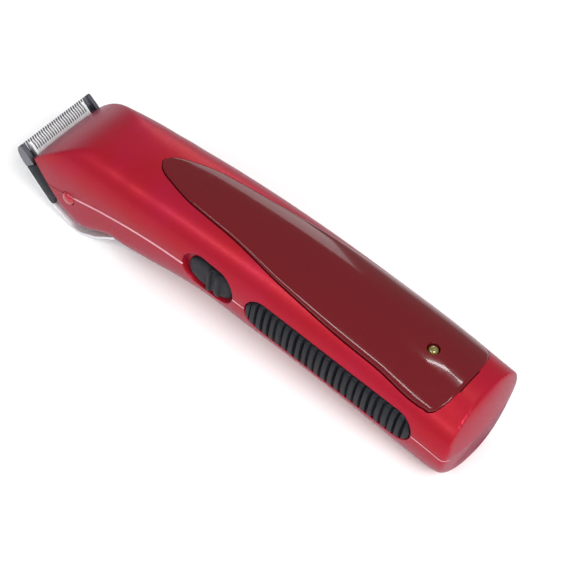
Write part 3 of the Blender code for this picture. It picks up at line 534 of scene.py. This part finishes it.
def turned(name, profile, local, sides=48):
    """A solid turned from (radius, height) points round local Z, with both ends on the axis."""
    bm = bmesh.new()
    rows = []
    for i in range(sides):
        angle = 2 * math.pi * i / sides
        rows.append([bm.verts.new((radius * math.cos(angle), radius * math.sin(angle), height))
                     for radius, height in profile[1:-1]])
    ends = [bm.verts.new((0, 0, profile[0][1])), bm.verts.new((0, 0, profile[-1][1]))]
    for i in range(sides):
        row = rows[i]
        following = rows[(i + 1) % sides]
        for j in range(len(row) - 1):
            bm.faces.new((row[j], row[j + 1], following[j + 1], following[j]))
        bm.faces.new((ends[0], row[0], following[0]))
        bm.faces.new((row[-1], ends[1], following[-1]))
    for face in bm.faces:
        face.smooth = True
    return from_bmesh(name, bm, local)


def prism(name, outline, half, local=Matrix.Identity(4)):
    """An outline of X and Z points pulled out to both sides along Y."""
    bm = bmesh.new()
    near = [bm.verts.new((x, -half, z)) for x, z in outline]
    far = [bm.verts.new((x, half, z)) for x, z in outline]
    count = len(outline)
    for i in range(count):
        j = (i + 1) % count
        bm.faces.new((near[i], near[j], far[j], far[i]))
    bm.faces.new(near)
    bm.faces.new(far)
    return from_bmesh(name, bm, local)


def cut(target, *cutters, operation="DIFFERENCE"):
    """Cut, or join, with each cutter in turn and drop the cutters."""
    for cutter in cutters:
        modifier = target.modifiers.new(cutter.name, "BOOLEAN")
        modifier.operation = operation
        modifier.solver = "EXACT"
        modifier.object = cutter
    graph = bpy.context.evaluated_depsgraph_get()
    mesh = bpy.data.meshes.new_from_object(target.evaluated_get(graph))
    target.modifiers.clear()
    target.data = mesh
    for cutter in cutters:
        bpy.data.objects.remove(cutter, do_unlink=True)


def rod(name, radius, low, high, local, sides=40):
    """A cylinder along local Z."""
    return turned(name, [(0, low), (radius, low), (radius, high), (0, high)], local, sides)


def stadium(centre, length, height, steps=24):
    """Outline of a slot with round ends, along X."""
    radius = height / 2
    reach = length / 2 - radius
    points = []
    for side, turn in ((1, -90), (-1, 90)):
        for i in range(steps + 1):
            angle = math.radians(turn + 180 * i / steps)
            points.append((centre[0] + side * reach + radius * math.cos(angle),
                           centre[1] + radius * math.sin(angle)))
    return points


def finish_piece(made, body, materials, replaced=(), angle=35):
    """Give a piece its materials and shading, tie it to its body and hide the parts it replaces."""
    made.data.materials.clear()
    for item in materials:
        made.data.materials.append(item)
    if angle:
        made.data.shade_smooth()
        made.data.set_sharp_from_angle(angle=math.radians(angle))
    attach(made, body)
    if replaced:
        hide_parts(*replaced)
    return made


def round_edges(target, width, segments=3, angle=35):
    """Round a piece's sharp edges and keep the result."""
    bevel = target.modifiers.new("round", "BEVEL")
    bevel.width = width * MM
    bevel.segments = segments
    bevel.limit_method = "ANGLE"
    bevel.angle_limit = math.radians(angle)
    cut(target)


# ---- shells --------------------------------------------------------------------------------
def inner_wall(x):
    """Thickness of the shells' sides at a station."""
    return float(np.interp(x, [row[0] for row in SIDE_WALL], [row[1] for row in SIDE_WALL]))


def lip_width(x):
    """Width of the chamfer along the joint that carries the painted highlight: widest between the button and the
    switch.
    """
    return float(np.interp(x, [27, 30, 78, 106, 190], [0.02, 0.42, 0.42, 0.22, 0.16]))


def stations(start, end, step):
    """Evenly spaced stations between two ends."""
    count = max(2, int(round((end - start) / step)) + 1)
    return list(np.linspace(start, end, count))


OUTER = stations(3, CHISEL_END, 1.6 / FINE)[:-1] + stations(CHISEL_END, 184, 4.0 / FINE)[:-1]
OUTER += stations(184, 189.6, 1.0)[:-1] + stations(189.6, TAIL_X - 0.02, 0.36)
INNER = stations(3, CHISEL_END, 3.0)[:-1] + stations(CHISEL_END, BAND_START, 12.0)[:-1]
INNER += stations(BAND_START, TAIL_X - WALL, 2.0)
RING = 25 + 24 * FINE


def side_cutter(name, centre, length, height, floor, side):
    """A round-ended recess in a side, with a rounded lip that follows the body's face."""
    outline = stadium(centre, length, height)
    middle = Vector(centre)
    # how far out each ring lies from the outline, and how far over the face; the first is the floor
    steps = ((0.0, None), (0.0, -0.45), (0.10, -0.16), (0.32, -0.02), (0.5, 0.02), (0.6, 3.0))
    rings = []
    for grow, rise in steps:
        ring = []
        for x, z in outline:
            away = Vector((x, z)) - middle
            straight = max(0.0, abs(away.x) - (length - height) / 2)
            normal = Vector((math.copysign(straight, away.x), away.y)).normalized()
            px = x + normal.x * grow
            pz = z + normal.y * grow
            depth = floor if rise is None else side_face(px, pz) + rise
            ring.append((px, side * depth, pz))
        rings.append(ring)
    return loft(name, rings, triangulate=True)


def inlay_cutter():
    """The inlay's seat in the deck, with a small rounded lip."""
    tip = INLAY[0][0]
    rear = INLAY[-1][0]
    steps = 8 * FINE
    xs = stations(tip, 64, 0.9) + stations(66, 178, 4.0) + stations(179, rear, 0.5)
    rings = []
    for x in [tip - SEAT_GAP, *xs, rear + SEAT_GAP]:
        reach = spline(INLAY, 1, min(max(x, tip), rear)) + SEAT_GAP
        lip = reach + SEAT_LIP
        rim = deck_height(x, reach)
        over = deck_height(x, 0) + 5
        ring = [(x, -reach, rim - 0.25), (x, -lip, rim + 0.02), (x, -lip, over),
                (x, lip, over), (x, lip, rim + 0.02), (x, reach, rim - 0.25)]
        for i in range(steps + 1):
            y = reach * (1 - 2 * i / steps)
            ring.append((x, y, deck_height(x, y) - SEAT_DEPTH))
        rings.append(ring)
    return loft("inlay_seat", rings, triangulate=True)


def mouth_cutter(name):
    """Everything in front of the head's open face."""
    outline = [(-25, MOUTH_LEVEL), (22.9, MOUTH_LEVEL), (27.0, -1.2), (29.0, -40), (-25, -40)]
    return prism(name, outline, 30, BLADE)


def smooth_from(target, reference):
    """Take the outer skin's shading from the uncut form, so that cuts leave no marks in it."""
    same_face = 0.00004
    soften = 0.00002
    alike = 0.9
    mesh = reference.data
    tree = BVHTree.FromPolygons([v.co for v in mesh.vertices],
                                [tuple(p.vertices) for p in mesh.polygons])
    corner_normals = mesh.corner_normals
    starts = [p.loop_start for p in mesh.polygons]
    data = target.data
    data.shade_smooth()
    data.set_sharp_from_angle(angle=math.radians(28))
    normals = [Vector(n.vector) for n in data.corner_normals]
    for polygon in data.polygons:
        for loop in polygon.loop_indices:
            co = data.vertices[data.loops[loop].vertex_index].co
            spot, _, face, distance = tree.find_nearest(co)
            if distance is None or distance > same_face:
                continue
            source = mesh.polygons[face]
            blended = Vector((0, 0, 0))
            for i, vertex in enumerate(source.vertices):
                weight = 1 / ((mesh.vertices[vertex].co - spot).length + soften)
                blended += weight * Vector(corner_normals[starts[face] + i].vector)
            blended.normalize()
            if blended.dot(polygon.normal) > alike:
                normals[loop] = blended
    data.normals_split_custom_set(normals)


def shell(name, ring, extra):
    """One moulded half, with its recesses, from a fine loft."""
    made = loft(name, [ring(x, count=RING, lip=lip_width(x)) for x in OUTER], pale=True)
    made.data.set_sharp_from_angle(angle=math.radians(32))
    reference = link(name + "_form", made.data.copy())
    made.data.materials.append(RED)
    made.data.materials.append(JOINT_HIGHLIGHT)
    hollow = [ring(x, inner_wall(x), WALL, CAVITY_OVERLAP, count=21) for x in INNER]
    cutters = [loft(name + "_cavity", hollow, triangulate=True), mouth_cutter(name + "_mouth")]
    for label, side in (("near", -1), ("far", 1)):
        cutters.append(side_cutter(name + "_grip_" + label, GRIP, GRIP_LENGTH + GRIP_CLEARANCE,
                                   GRIP_HEIGHT + GRIP_CLEARANCE, GRIP_FLOOR, side))
    cutters.append(side_cutter(name + "_switch", SWITCH, SWITCH_LENGTH, SWITCH_HEIGHT,
                               SWITCH_FLOOR, -1))
    cutters.append(box(name + "_slot", (88.0, -SWITCH_FLOOR - 1, 9.2), (97.6, -14.0, 14.0)))
    bore = [(0, 14), (BUTTON_HOLE, 14), (BUTTON_HOLE, 19.0), (BUTTON_HOLE + 0.05, 25), (0, 25)]
    cutters.append(turned(name + "_button", bore, at(BUTTON[0], 0, BUTTON[1]) @ PRESS))
    cut(made, *cutters, *extra)
    smooth_from(made, reference)
    bpy.data.objects.remove(reference, do_unlink=True)
    return made


lamp_top = deck_height(LED_X, 0) + INLAY_PROUD
lamp_hole = rod("lamp_hole", LAMP_HOLE, lamp_top - 8, lamp_top + 3, at(LED_X, 0, 0))
upper = shell("upper_shell_skin", upper_ring, [inlay_cutter(), lamp_hole])
plate_reach = HEEL_RADIUS + PLATE_THICK
tail_flat = at(HEEL[0] + math.sin(REST_TILT) * plate_reach, 0,
               HEEL[1] - math.cos(REST_TILT) * plate_reach) @ Matrix.Rotation(-REST_TILT, 4, "Y")
lower_extra = [box("hook_slot", (44.2, -6.6, -16), (51.6, 6.6, -8.0)),
               box("plate_groove", (43.6, -17.97, -16), (50.9, 17.97, -9.75)),
               box("tail_flat", (120, -30, -10), (190, 30, 0), tail_flat)]
for screw_x, screw_y in SCREWS:
    belly = section(screw_x).belly
    lower_extra.append(rod(f"counterbore_{screw_x}_{screw_y}", COUNTERBORE_RADIUS, belly - 5,
                           belly + COUNTERBORE_DEPTH, at(screw_x, screw_y, 0)))
for contact_y in CONTACTS:
    lower_extra.append(box(f"contact_window_{contact_y}", (175.6, contact_y - 2, -14),
                           (180.4, contact_y + 2, -4)))
lower = shell("lower_shell_skin", lower_ring, lower_extra)
for piece, node in ((upper, "upper_shell"), (lower, "lower_shell")):
    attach(piece, "housing")
    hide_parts(node)


# ---- inlay and lamp ------------------------------------------------------------------------
def inlay():
    """The glossy panel: a crowned sheet with a rounded rim."""
    tip = INLAY[0][0]
    rear = INLAY[-1][0]
    steps = 18 * FINE
    rings = []
    for x in stations(tip, 64, 0.45) + stations(65, 178, 2.0) + stations(178.6, rear, 0.25):
        reach = spline(INLAY, 1, x)
        edge = deck_height(x, reach)
        end = min(1.0, (x - tip) / 1.2 + 0.15, (rear - x) / 1.2 + 0.15)
        ring = [(x, -reach, edge - 1.0), (x, -reach, edge + INLAY_EDGE)]
        for i in range(steps + 1):
            share = -math.cos(math.pi * i / steps)
            share = math.copysign(abs(share) ** 0.75, share)
            rim = 1 - (1 - min(1.0, (1 - abs(share)) * reach / INLAY_ROUNDING)) ** 2
            y = share * reach * 0.999
            rise = INLAY_EDGE + (INLAY_PROUD - INLAY_EDGE) * math.sqrt(rim) * math.sqrt(end)
            ring.append((x, y, deck_height(x, y) + rise))
        ring += [(x, reach, edge + INLAY_EDGE), (x, reach, edge - 1.0)]
        rings.append(ring)
    made = loft("inlay_panel", rings)
    hole = [(0, lamp_top - 6), (LAMP_HOLE, lamp_top - 6), (LAMP_HOLE, lamp_top - 0.3),
            (2.45, lamp_top + 0.05), (2.5, lamp_top + 3), (0, lamp_top + 3)]
    cut(made, turned("panel_lamp_hole", hole, at(LED_X, 0, 0)))
    return finish_piece(made, "housing", [BURGUNDY], ["top_inlay"])


inlay()


def lamp():
    """The lamp's dome in its hole."""
    profile = [(0, lamp_top + 0.1)]
    for i in range(1, DOME_STEPS + 1):
        angle = math.radians(90 - 90 * i / DOME_STEPS)
        profile.append((LAMP_RADIUS * math.cos(angle), lamp_top - 1.3 + 1.4 * math.sin(angle)))
    profile += [(LAMP_RADIUS, 24.5), (2.3, 24.5), (2.3, 23.3), (0, 23.3)]
    made = turned("lamp_dome", profile, at(LED_X, 0, 0))
    return finish_piece(made, "housing", [LENS], ["status_led"], 40)


lamp()


# ---- grips ---------------------------------------------------------------------------------
def grip_pad(name, side, node):
    """A soft pad: round-ended, slightly proud, with round-bottomed grooves across it."""
    radius = GRIP_HEIGHT / 2
    end = GRIP_LENGTH / 2
    margin = 2.5
    pitch = (GRIP_LENGTH - 2 * margin) / GRIP_RIBS
    rings = []
    columns = 9 + 6 * FINE
    for offset in stations(-end + 0.02, end - 0.02, 0.28 / (0.6 + 0.2 * FINE)):
        past = max(0.0, abs(offset) - (end - radius))
        reach = math.sqrt(max(0.0, radius**2 - past**2))
        phase = ((offset + end - margin) / pitch) % 1.0
        groove = 0.0
        if abs(offset) < end - PLAIN_END and phase > GROOVE_FROM:
            across = (phase - GROOVE_FROM) / (1 - GROOVE_FROM)
            groove = GROOVE_DEPTH * math.sin(math.pi * across) ** 0.7
        ring = []
        for i in range(columns):
            share = -math.cos(math.pi * i / (columns - 1))
            z = GRIP[1] + share * reach
            inset = min(1.0, (1 - abs(share)) * reach / 0.9, (end - abs(offset)) / 0.9)
            rise = -0.75 + 1.1 * math.sqrt(max(0.0, 1 - (1 - inset) ** 2))
            depth = max(0.1 + GRIP_FLOOR, side_face(GRIP[0] + offset, z) + rise - groove)
            ring.append((GRIP[0] + offset, side * depth, z))
        low_z = GRIP[1] - reach
        high_z = GRIP[1] + reach
        ring += [(GRIP[0] + offset, side * (GRIP_FLOOR + 0.05), high_z),
                 (GRIP[0] + offset, side * (GRIP_FLOOR + 0.05), low_z)]
        rings.append(ring)
    made = loft(name, rings)
    return finish_piece(made, "housing", [RUBBER], [node], 40)


grip_pad("near_grip_pad", -1, "grip_near")
grip_pad("far_grip_pad", 1, "grip_far")


# ---- power switch and release button --------------------------------------------------------
def slider():
    """Thumb slider: a soft pad, a tall ridge, a second step and the stem that goes inside."""
    # distance from the pad's front end and how far out the face lies
    profile = [(0.15, 18.6), (0.45, 18.95), (1.0, 19.3), (2.2, 19.58), (4.6, 19.7), (7.4, 19.7),
               (9.0, 19.64), (9.35, 19.95), (9.55, 20.7), (9.85, 21.0), (10.25, 21.1),
               (10.65, 21.02), (10.95, 20.5), (11.15, 20.02), (11.5, 19.9), (12.3, 19.9),
               (12.6, 20.15), (12.8, 20.55), (13.2, 20.7), (14.4, 20.7), (14.75, 20.55),
               (14.95, 20.1), (15.3, 19.76), (16.5, 19.64), (18.0, 19.5), (18.9, 19.2),
               (19.5, 18.8), (19.85, 18.5)]
    radius = SLIDER_HEIGHT / 2
    base = SWITCH_FLOOR + 0.3
    columns = 9 + 8 * FINE
    rings = []
    for offset, face in profile:
        past = max(0.0, abs(offset - SLIDER_LENGTH / 2) - (SLIDER_LENGTH / 2 - radius))
        reach = math.sqrt(max(0.0, radius**2 - past**2))
        x = SLIDER_START + offset
        ring = [(x, -base, SWITCH[1] - reach)]
        for i in range(columns):
            share = -math.cos(math.pi * i / (columns - 1))
            drop = 0.9 * (1 - math.sqrt(max(0.0, 1 - abs(share) ** 5)))
            ring.append((x, -max(face - drop, base + 0.1), SWITCH[1] + share * reach))
        ring.append((x, -base, SWITCH[1] + reach))
        rings.append(ring)
    made = loft("slider_pad", rings, triangulate=True)
    cut(made, box("slider_stem", (91.0, -18.6, 10.2), (94.2, -15.4, 13.0)), operation="UNION")
    return finish_piece(made, "power_switch", [RUBBER], ["switch_slider"], 32)


def release_button():
    """The domed button, with its flange and the plunger that goes inside."""
    profile = [(0, BUTTON_FACE)]
    for i in range(1, DOME_STEPS + 1):
        lean = math.radians(90 * i / DOME_STEPS)
        profile.append((BUTTON_RADIUS * math.sin(lean), BUTTON_FACE - 1.9 * (1 - math.cos(lean))))
    profile += [(BUTTON_RADIUS, 16.4), (3.3, 16.4), (3.3, 15.4), (1.1, 15.4), (1.1, 8.6), (0, 8.6)]
    made = turned("button_dome", profile, at(BUTTON[0], 0, BUTTON[1]) @ PRESS)
    return finish_piece(made, "release", [BUTTON_RED], ["release_button"], 40)


slider()
release_button()


# ---- blade set -----------------------------------------------------------------------------
def to_body(along, above):
    """Station and height in the body frame of a point in the blade set's frame."""
    forward = along * math.cos(BLADE_ANGLE) + above * math.sin(BLADE_ANGLE)
    return (forward, above * math.cos(BLADE_ANGLE) - along * math.sin(BLADE_ANGLE))


def thickened(line, thickness):
    """Outline of a strip of even thickness under a line of points."""
    points = [Vector(point) for point in line]
    under = []
    for i, point in enumerate(points):
        ahead = points[min(i + 1, len(points) - 1)] - points[max(i - 1, 0)]
        under.append(point - Vector((-ahead.y, ahead.x)).normalized() * thickness)
    return [tuple(point) for point in points] + [tuple(point) for point in reversed(under)]


def sole():
    """The bent plate under the head, with its curled end."""
    line = [to_body(*point) for point in ((6.6, -4.0), (16.0, -4.0), (24.0, -3.9))]
    bends = 12 * FINE
    for i in range(bends + 1):
        angle = math.radians(228 + (300 - 228) * i / bends)
        line.append((HEEL[0] + HEEL_RADIUS * math.cos(angle),
                     HEEL[1] + HEEL_RADIUS * math.sin(angle)))
    line += [(38.2, -18.8), (42.5, -14.8), (47.1, -10.8)]
    made = prism("sole_plate", thickened(line, PLATE_THICK), PLATE_HALF)
    curl = rod("sole_curl", CURL_RADIUS, -6.0, 6.0, at(CURL[0], 0, CURL[1]) @ PRESS)
    cut(made, curl, operation="UNION")
    round_edges(made, 0.18, 2, 50)
    return finish_piece(made, "blade_set", [PLATE], ["blade_plate"], 35)


def comb():
    """The toothed comb: rounded solid cheeks with ground teeth between them."""
    outline = [(0.1, 1.25), (-0.15, 0.98), (-0.28, 0.55), (-0.3, 0.05), (-0.22, -0.5), (0.1, -1.25),
               (0.7, -2.0), (1.7, -2.8), (3.1, -3.4), (4.5, -3.65), (6.0, -3.7), (8.05, -3.7),
               (8.05, 1.9), (5.0, 1.9), (3.6, 1.8), (2.4, 1.6), (1.1, 1.46)]
    made = prism("comb_cheeks", outline, BLADE_HALF, BLADE)
    cut(made, box("comb_tongue", (7.0, -13.6, -2.3), (22.0, 13.6, 0.0), BLADE), operation="UNION")
    channel = BLADE_HALF - CHEEK_WIDTH
    underside = [(-2, -0.55), (0.2, -0.7), (5.6, -1.9), (6.6, -4.4), (-2, -4.4)]
    cut(made, box("cutter_channel", (-2.0, -channel, 0.0), (24.0, channel, 6.0), BLADE),
        prism("tooth_underside", underside, channel, BLADE))
    gaps = bmesh.new()
    pitch = 2 * channel / COMB_GAPS
    slot = [(-2.0, 3.0), (6.0, 3.0), (6.0, -1.5), (3.2, -1.5), (2.4, -5.0), (-2.0, -5.0)]
    for i in range(COMB_GAPS):
        middle = -channel + (i + 0.5) * pitch
        sides = [[gaps.verts.new((u, middle + shift, w)) for u, w in slot]
                 for shift in (-COMB_GAP_HALF, COMB_GAP_HALF)]
        gaps.faces.new(sides[0])
        gaps.faces.new(sides[1])
        for j in range(len(slot)):
            k = (j + 1) % len(slot)
            gaps.faces.new((sides[0][j], sides[0][k], sides[1][k], sides[1][j]))
    holes = [rod(f"comb_hole_{side}", 1.5, -4, 2, BLADE @ at(20.0, side * 10.8, 0))
             for side in (-1, 1)]
    cut(made, from_bmesh("comb_gaps", gaps, BLADE), *holes)
    return finish_piece(made, "blade_set", [COMB], ["comb_blade"], 32)


def cutter():
    """The moving blade, with bright teeth at the comb's pitch."""
    outline = [(0.7, 0.3), (0.7, 0.55), (2.4, 1.3), (18.6, 1.3), (18.6, 0.3)]
    made = prism("cutter_teeth", outline, CUTTER_HALF, BLADE)
    gaps = bmesh.new()
    for i in range(CUTTER_GAPS):
        cube = bmesh.ops.create_cube(gaps, size=1.0)["verts"]
        middle = CUTTER_GAP_START + (i + 0.5) * CUTTER_PITCH
        bmesh.ops.scale(gaps, vec=CUTTER_GAP, verts=cube)
        bmesh.ops.translate(gaps, vec=(2.3, middle, 1.0), verts=cube)
    cut(made, from_bmesh("cutter_gaps", gaps, BLADE),
        box("cutter_corner_near", (15.8, -14.6, -1), (20, -7, 3), BLADE),
        box("cutter_corner_far", (15.8, 7, -1), (20, 14.6, 3), BLADE))
    return finish_piece(made, "cutter", [CUTTER], ["cutter_blade"], 32)


def carrier():
    """The moulded part that holds the comb and the cutter."""
    outline = [(8.35, -3.7), (8.35, 4.2), (21.6, 4.2), (24.9, -1.0), (24.9, -2.6), (23.0, -3.5),
               (16.0, -3.7)]
    made = prism("carrier_body", outline, BLADE_HALF, BLADE)
    cut(made, box("carrier_bay", (7.0, -CARRIER_BAY, -2.6), (22.4, CARRIER_BAY, 10.0), BLADE),
        box("carrier_window", (10.0, -9.0, -5.0), (20.0, 9.0, 0.0), BLADE))
    round_edges(made, 0.22, 2, 40)
    return finish_piece(made, "blade_set", [BLACK], ["blade_carrier"], 35)


sole()
comb()
cutter()
carrier()

# ---- floor, light and camera ---------------------------------------------------------------
FLOOR_SIZE = 6
FLOOR_LEVEL = -0.0002
WORLD_LIGHT = 0.42
CAMERA_LENS = 101.6
CAMERA_SENSOR = 36.0
CAMERA_ELEVATION = math.radians(55.0)
CAMERA_AZIMUTH = math.radians(30.5)
CAMERA_ROLL = math.radians(11.5)
# the camera's place in its own axes: right, down and back from the tips, in millimetres
CAMERA_RIGHT = 84.8
CAMERA_DOWN = 60.4
CAMERA_BACK = 592.1

bpy.ops.mesh.primitive_plane_add(size=FLOOR_SIZE, location=(0, 0, FLOOR_LEVEL))
floor = bpy.context.object
floor.name = "studio_floor"
floor_finish = Finish("studio_floor", (0.9, 0.9, 0.9), 0.7)
clouds = floor_finish.noise(3, 2.0)
floor_finish.colour(floor_finish.mix(clouds, (0.95, 0.95, 0.955), (0.97, 0.97, 0.97)))
floor.data.materials.append(floor_finish.material)


def area_light(name, spot, power, width, height):
    """A soft lamp that looks at the clipper."""
    lamp_data = bpy.data.lights.new(name, "AREA")
    lamp_data.energy = power
    lamp_data.shape = "RECTANGLE"
    lamp_data.size = width
    lamp_data.size_y = height
    made = bpy.data.objects.new(name, lamp_data)
    made.location = spot
    made.rotation_euler = (-Vector(spot)).to_track_quat("-Z", "Y").to_euler()
    bpy.context.scene.collection.objects.link(made)


area_light("key", (0.75, -0.3, 0.95), 13.0, 0.6, 0.6)
area_light("near_fill", (-0.2, -0.75, 0.75), 4.0, 0.9, 0.09)
area_light("back", (-0.5, 0.9, 0.5), 2.2, 0.5, 0.5)


def panel_normal(x, y):
    """The way the glossy panel faces at a point."""
    step = 0.5
    along = (deck_height(x + step, y) - deck_height(x - step, y)) / (2 * step)
    across = (deck_height(x, y + step) - deck_height(x, y - step)) / (2 * step)
    return Vector((-along, -across, 1)).normalized()


def mirrored_lamp(name, first, last, eye_at, power, height):
    """A slim lamp that the panel mirrors as a streak between two places on it."""
    ends = []
    for x, y in (first, last):
        spot = Vector((x, y, deck_height(x, y) + INLAY_PROUD)) * MM
        view = (eye_at - spot).normalized()
        normal = panel_normal(x, y)
        ends.append(BODY @ (spot + 2 * view.dot(normal) * normal - view))
    middle = (ends[0] + ends[1]) / 2
    area_light(name, middle, power, (ends[1] - ends[0]).length, height)
    made = bpy.data.objects[name]
    facing = middle.normalized()
    along = (ends[1] - ends[0]).normalized()
    along = (along - along.dot(facing) * facing).normalized()
    made.rotation_euler = Matrix((along, facing.cross(along), facing)).transposed().to_euler()


world = bpy.data.worlds.new("studio")
world.use_nodes = True
world.node_tree.nodes["Background"].inputs["Color"].default_value = (1, 1, 1, 1)
world.node_tree.nodes["Background"].inputs["Strength"].default_value = WORLD_LIGHT
bpy.context.scene.world = world
bpy.context.scene.view_settings.view_transform = "Standard"

camera_data = bpy.data.cameras.new("camera")
camera_data.lens = CAMERA_LENS
camera_data.sensor_width = CAMERA_SENSOR
camera = bpy.data.objects.new("camera", camera_data)
back = Vector((math.sin(CAMERA_AZIMUTH) * math.cos(CAMERA_ELEVATION),
               -math.cos(CAMERA_AZIMUTH) * math.cos(CAMERA_ELEVATION),
               math.sin(CAMERA_ELEVATION)))
level = Vector((math.cos(CAMERA_AZIMUTH), math.sin(CAMERA_AZIMUTH), 0))
rise = back.cross(level)
right = level * math.cos(CAMERA_ROLL) + rise * math.sin(CAMERA_ROLL)
up = rise * math.cos(CAMERA_ROLL) - level * math.sin(CAMERA_ROLL)
eye = (right * CAMERA_RIGHT - up * CAMERA_DOWN + back * CAMERA_BACK) * MM
aim = Matrix((right, up, back)).transposed().to_4x4()
camera.matrix_world = BODY @ Matrix.Translation(eye) @ aim
mirrored_lamp("rear_streak", (171.5, -5.0), (184.0, -2.5), eye, 0.5, 0.03)
bpy.context.scene.collection.objects.link(camera)
bpy.context.scene.camera = camera
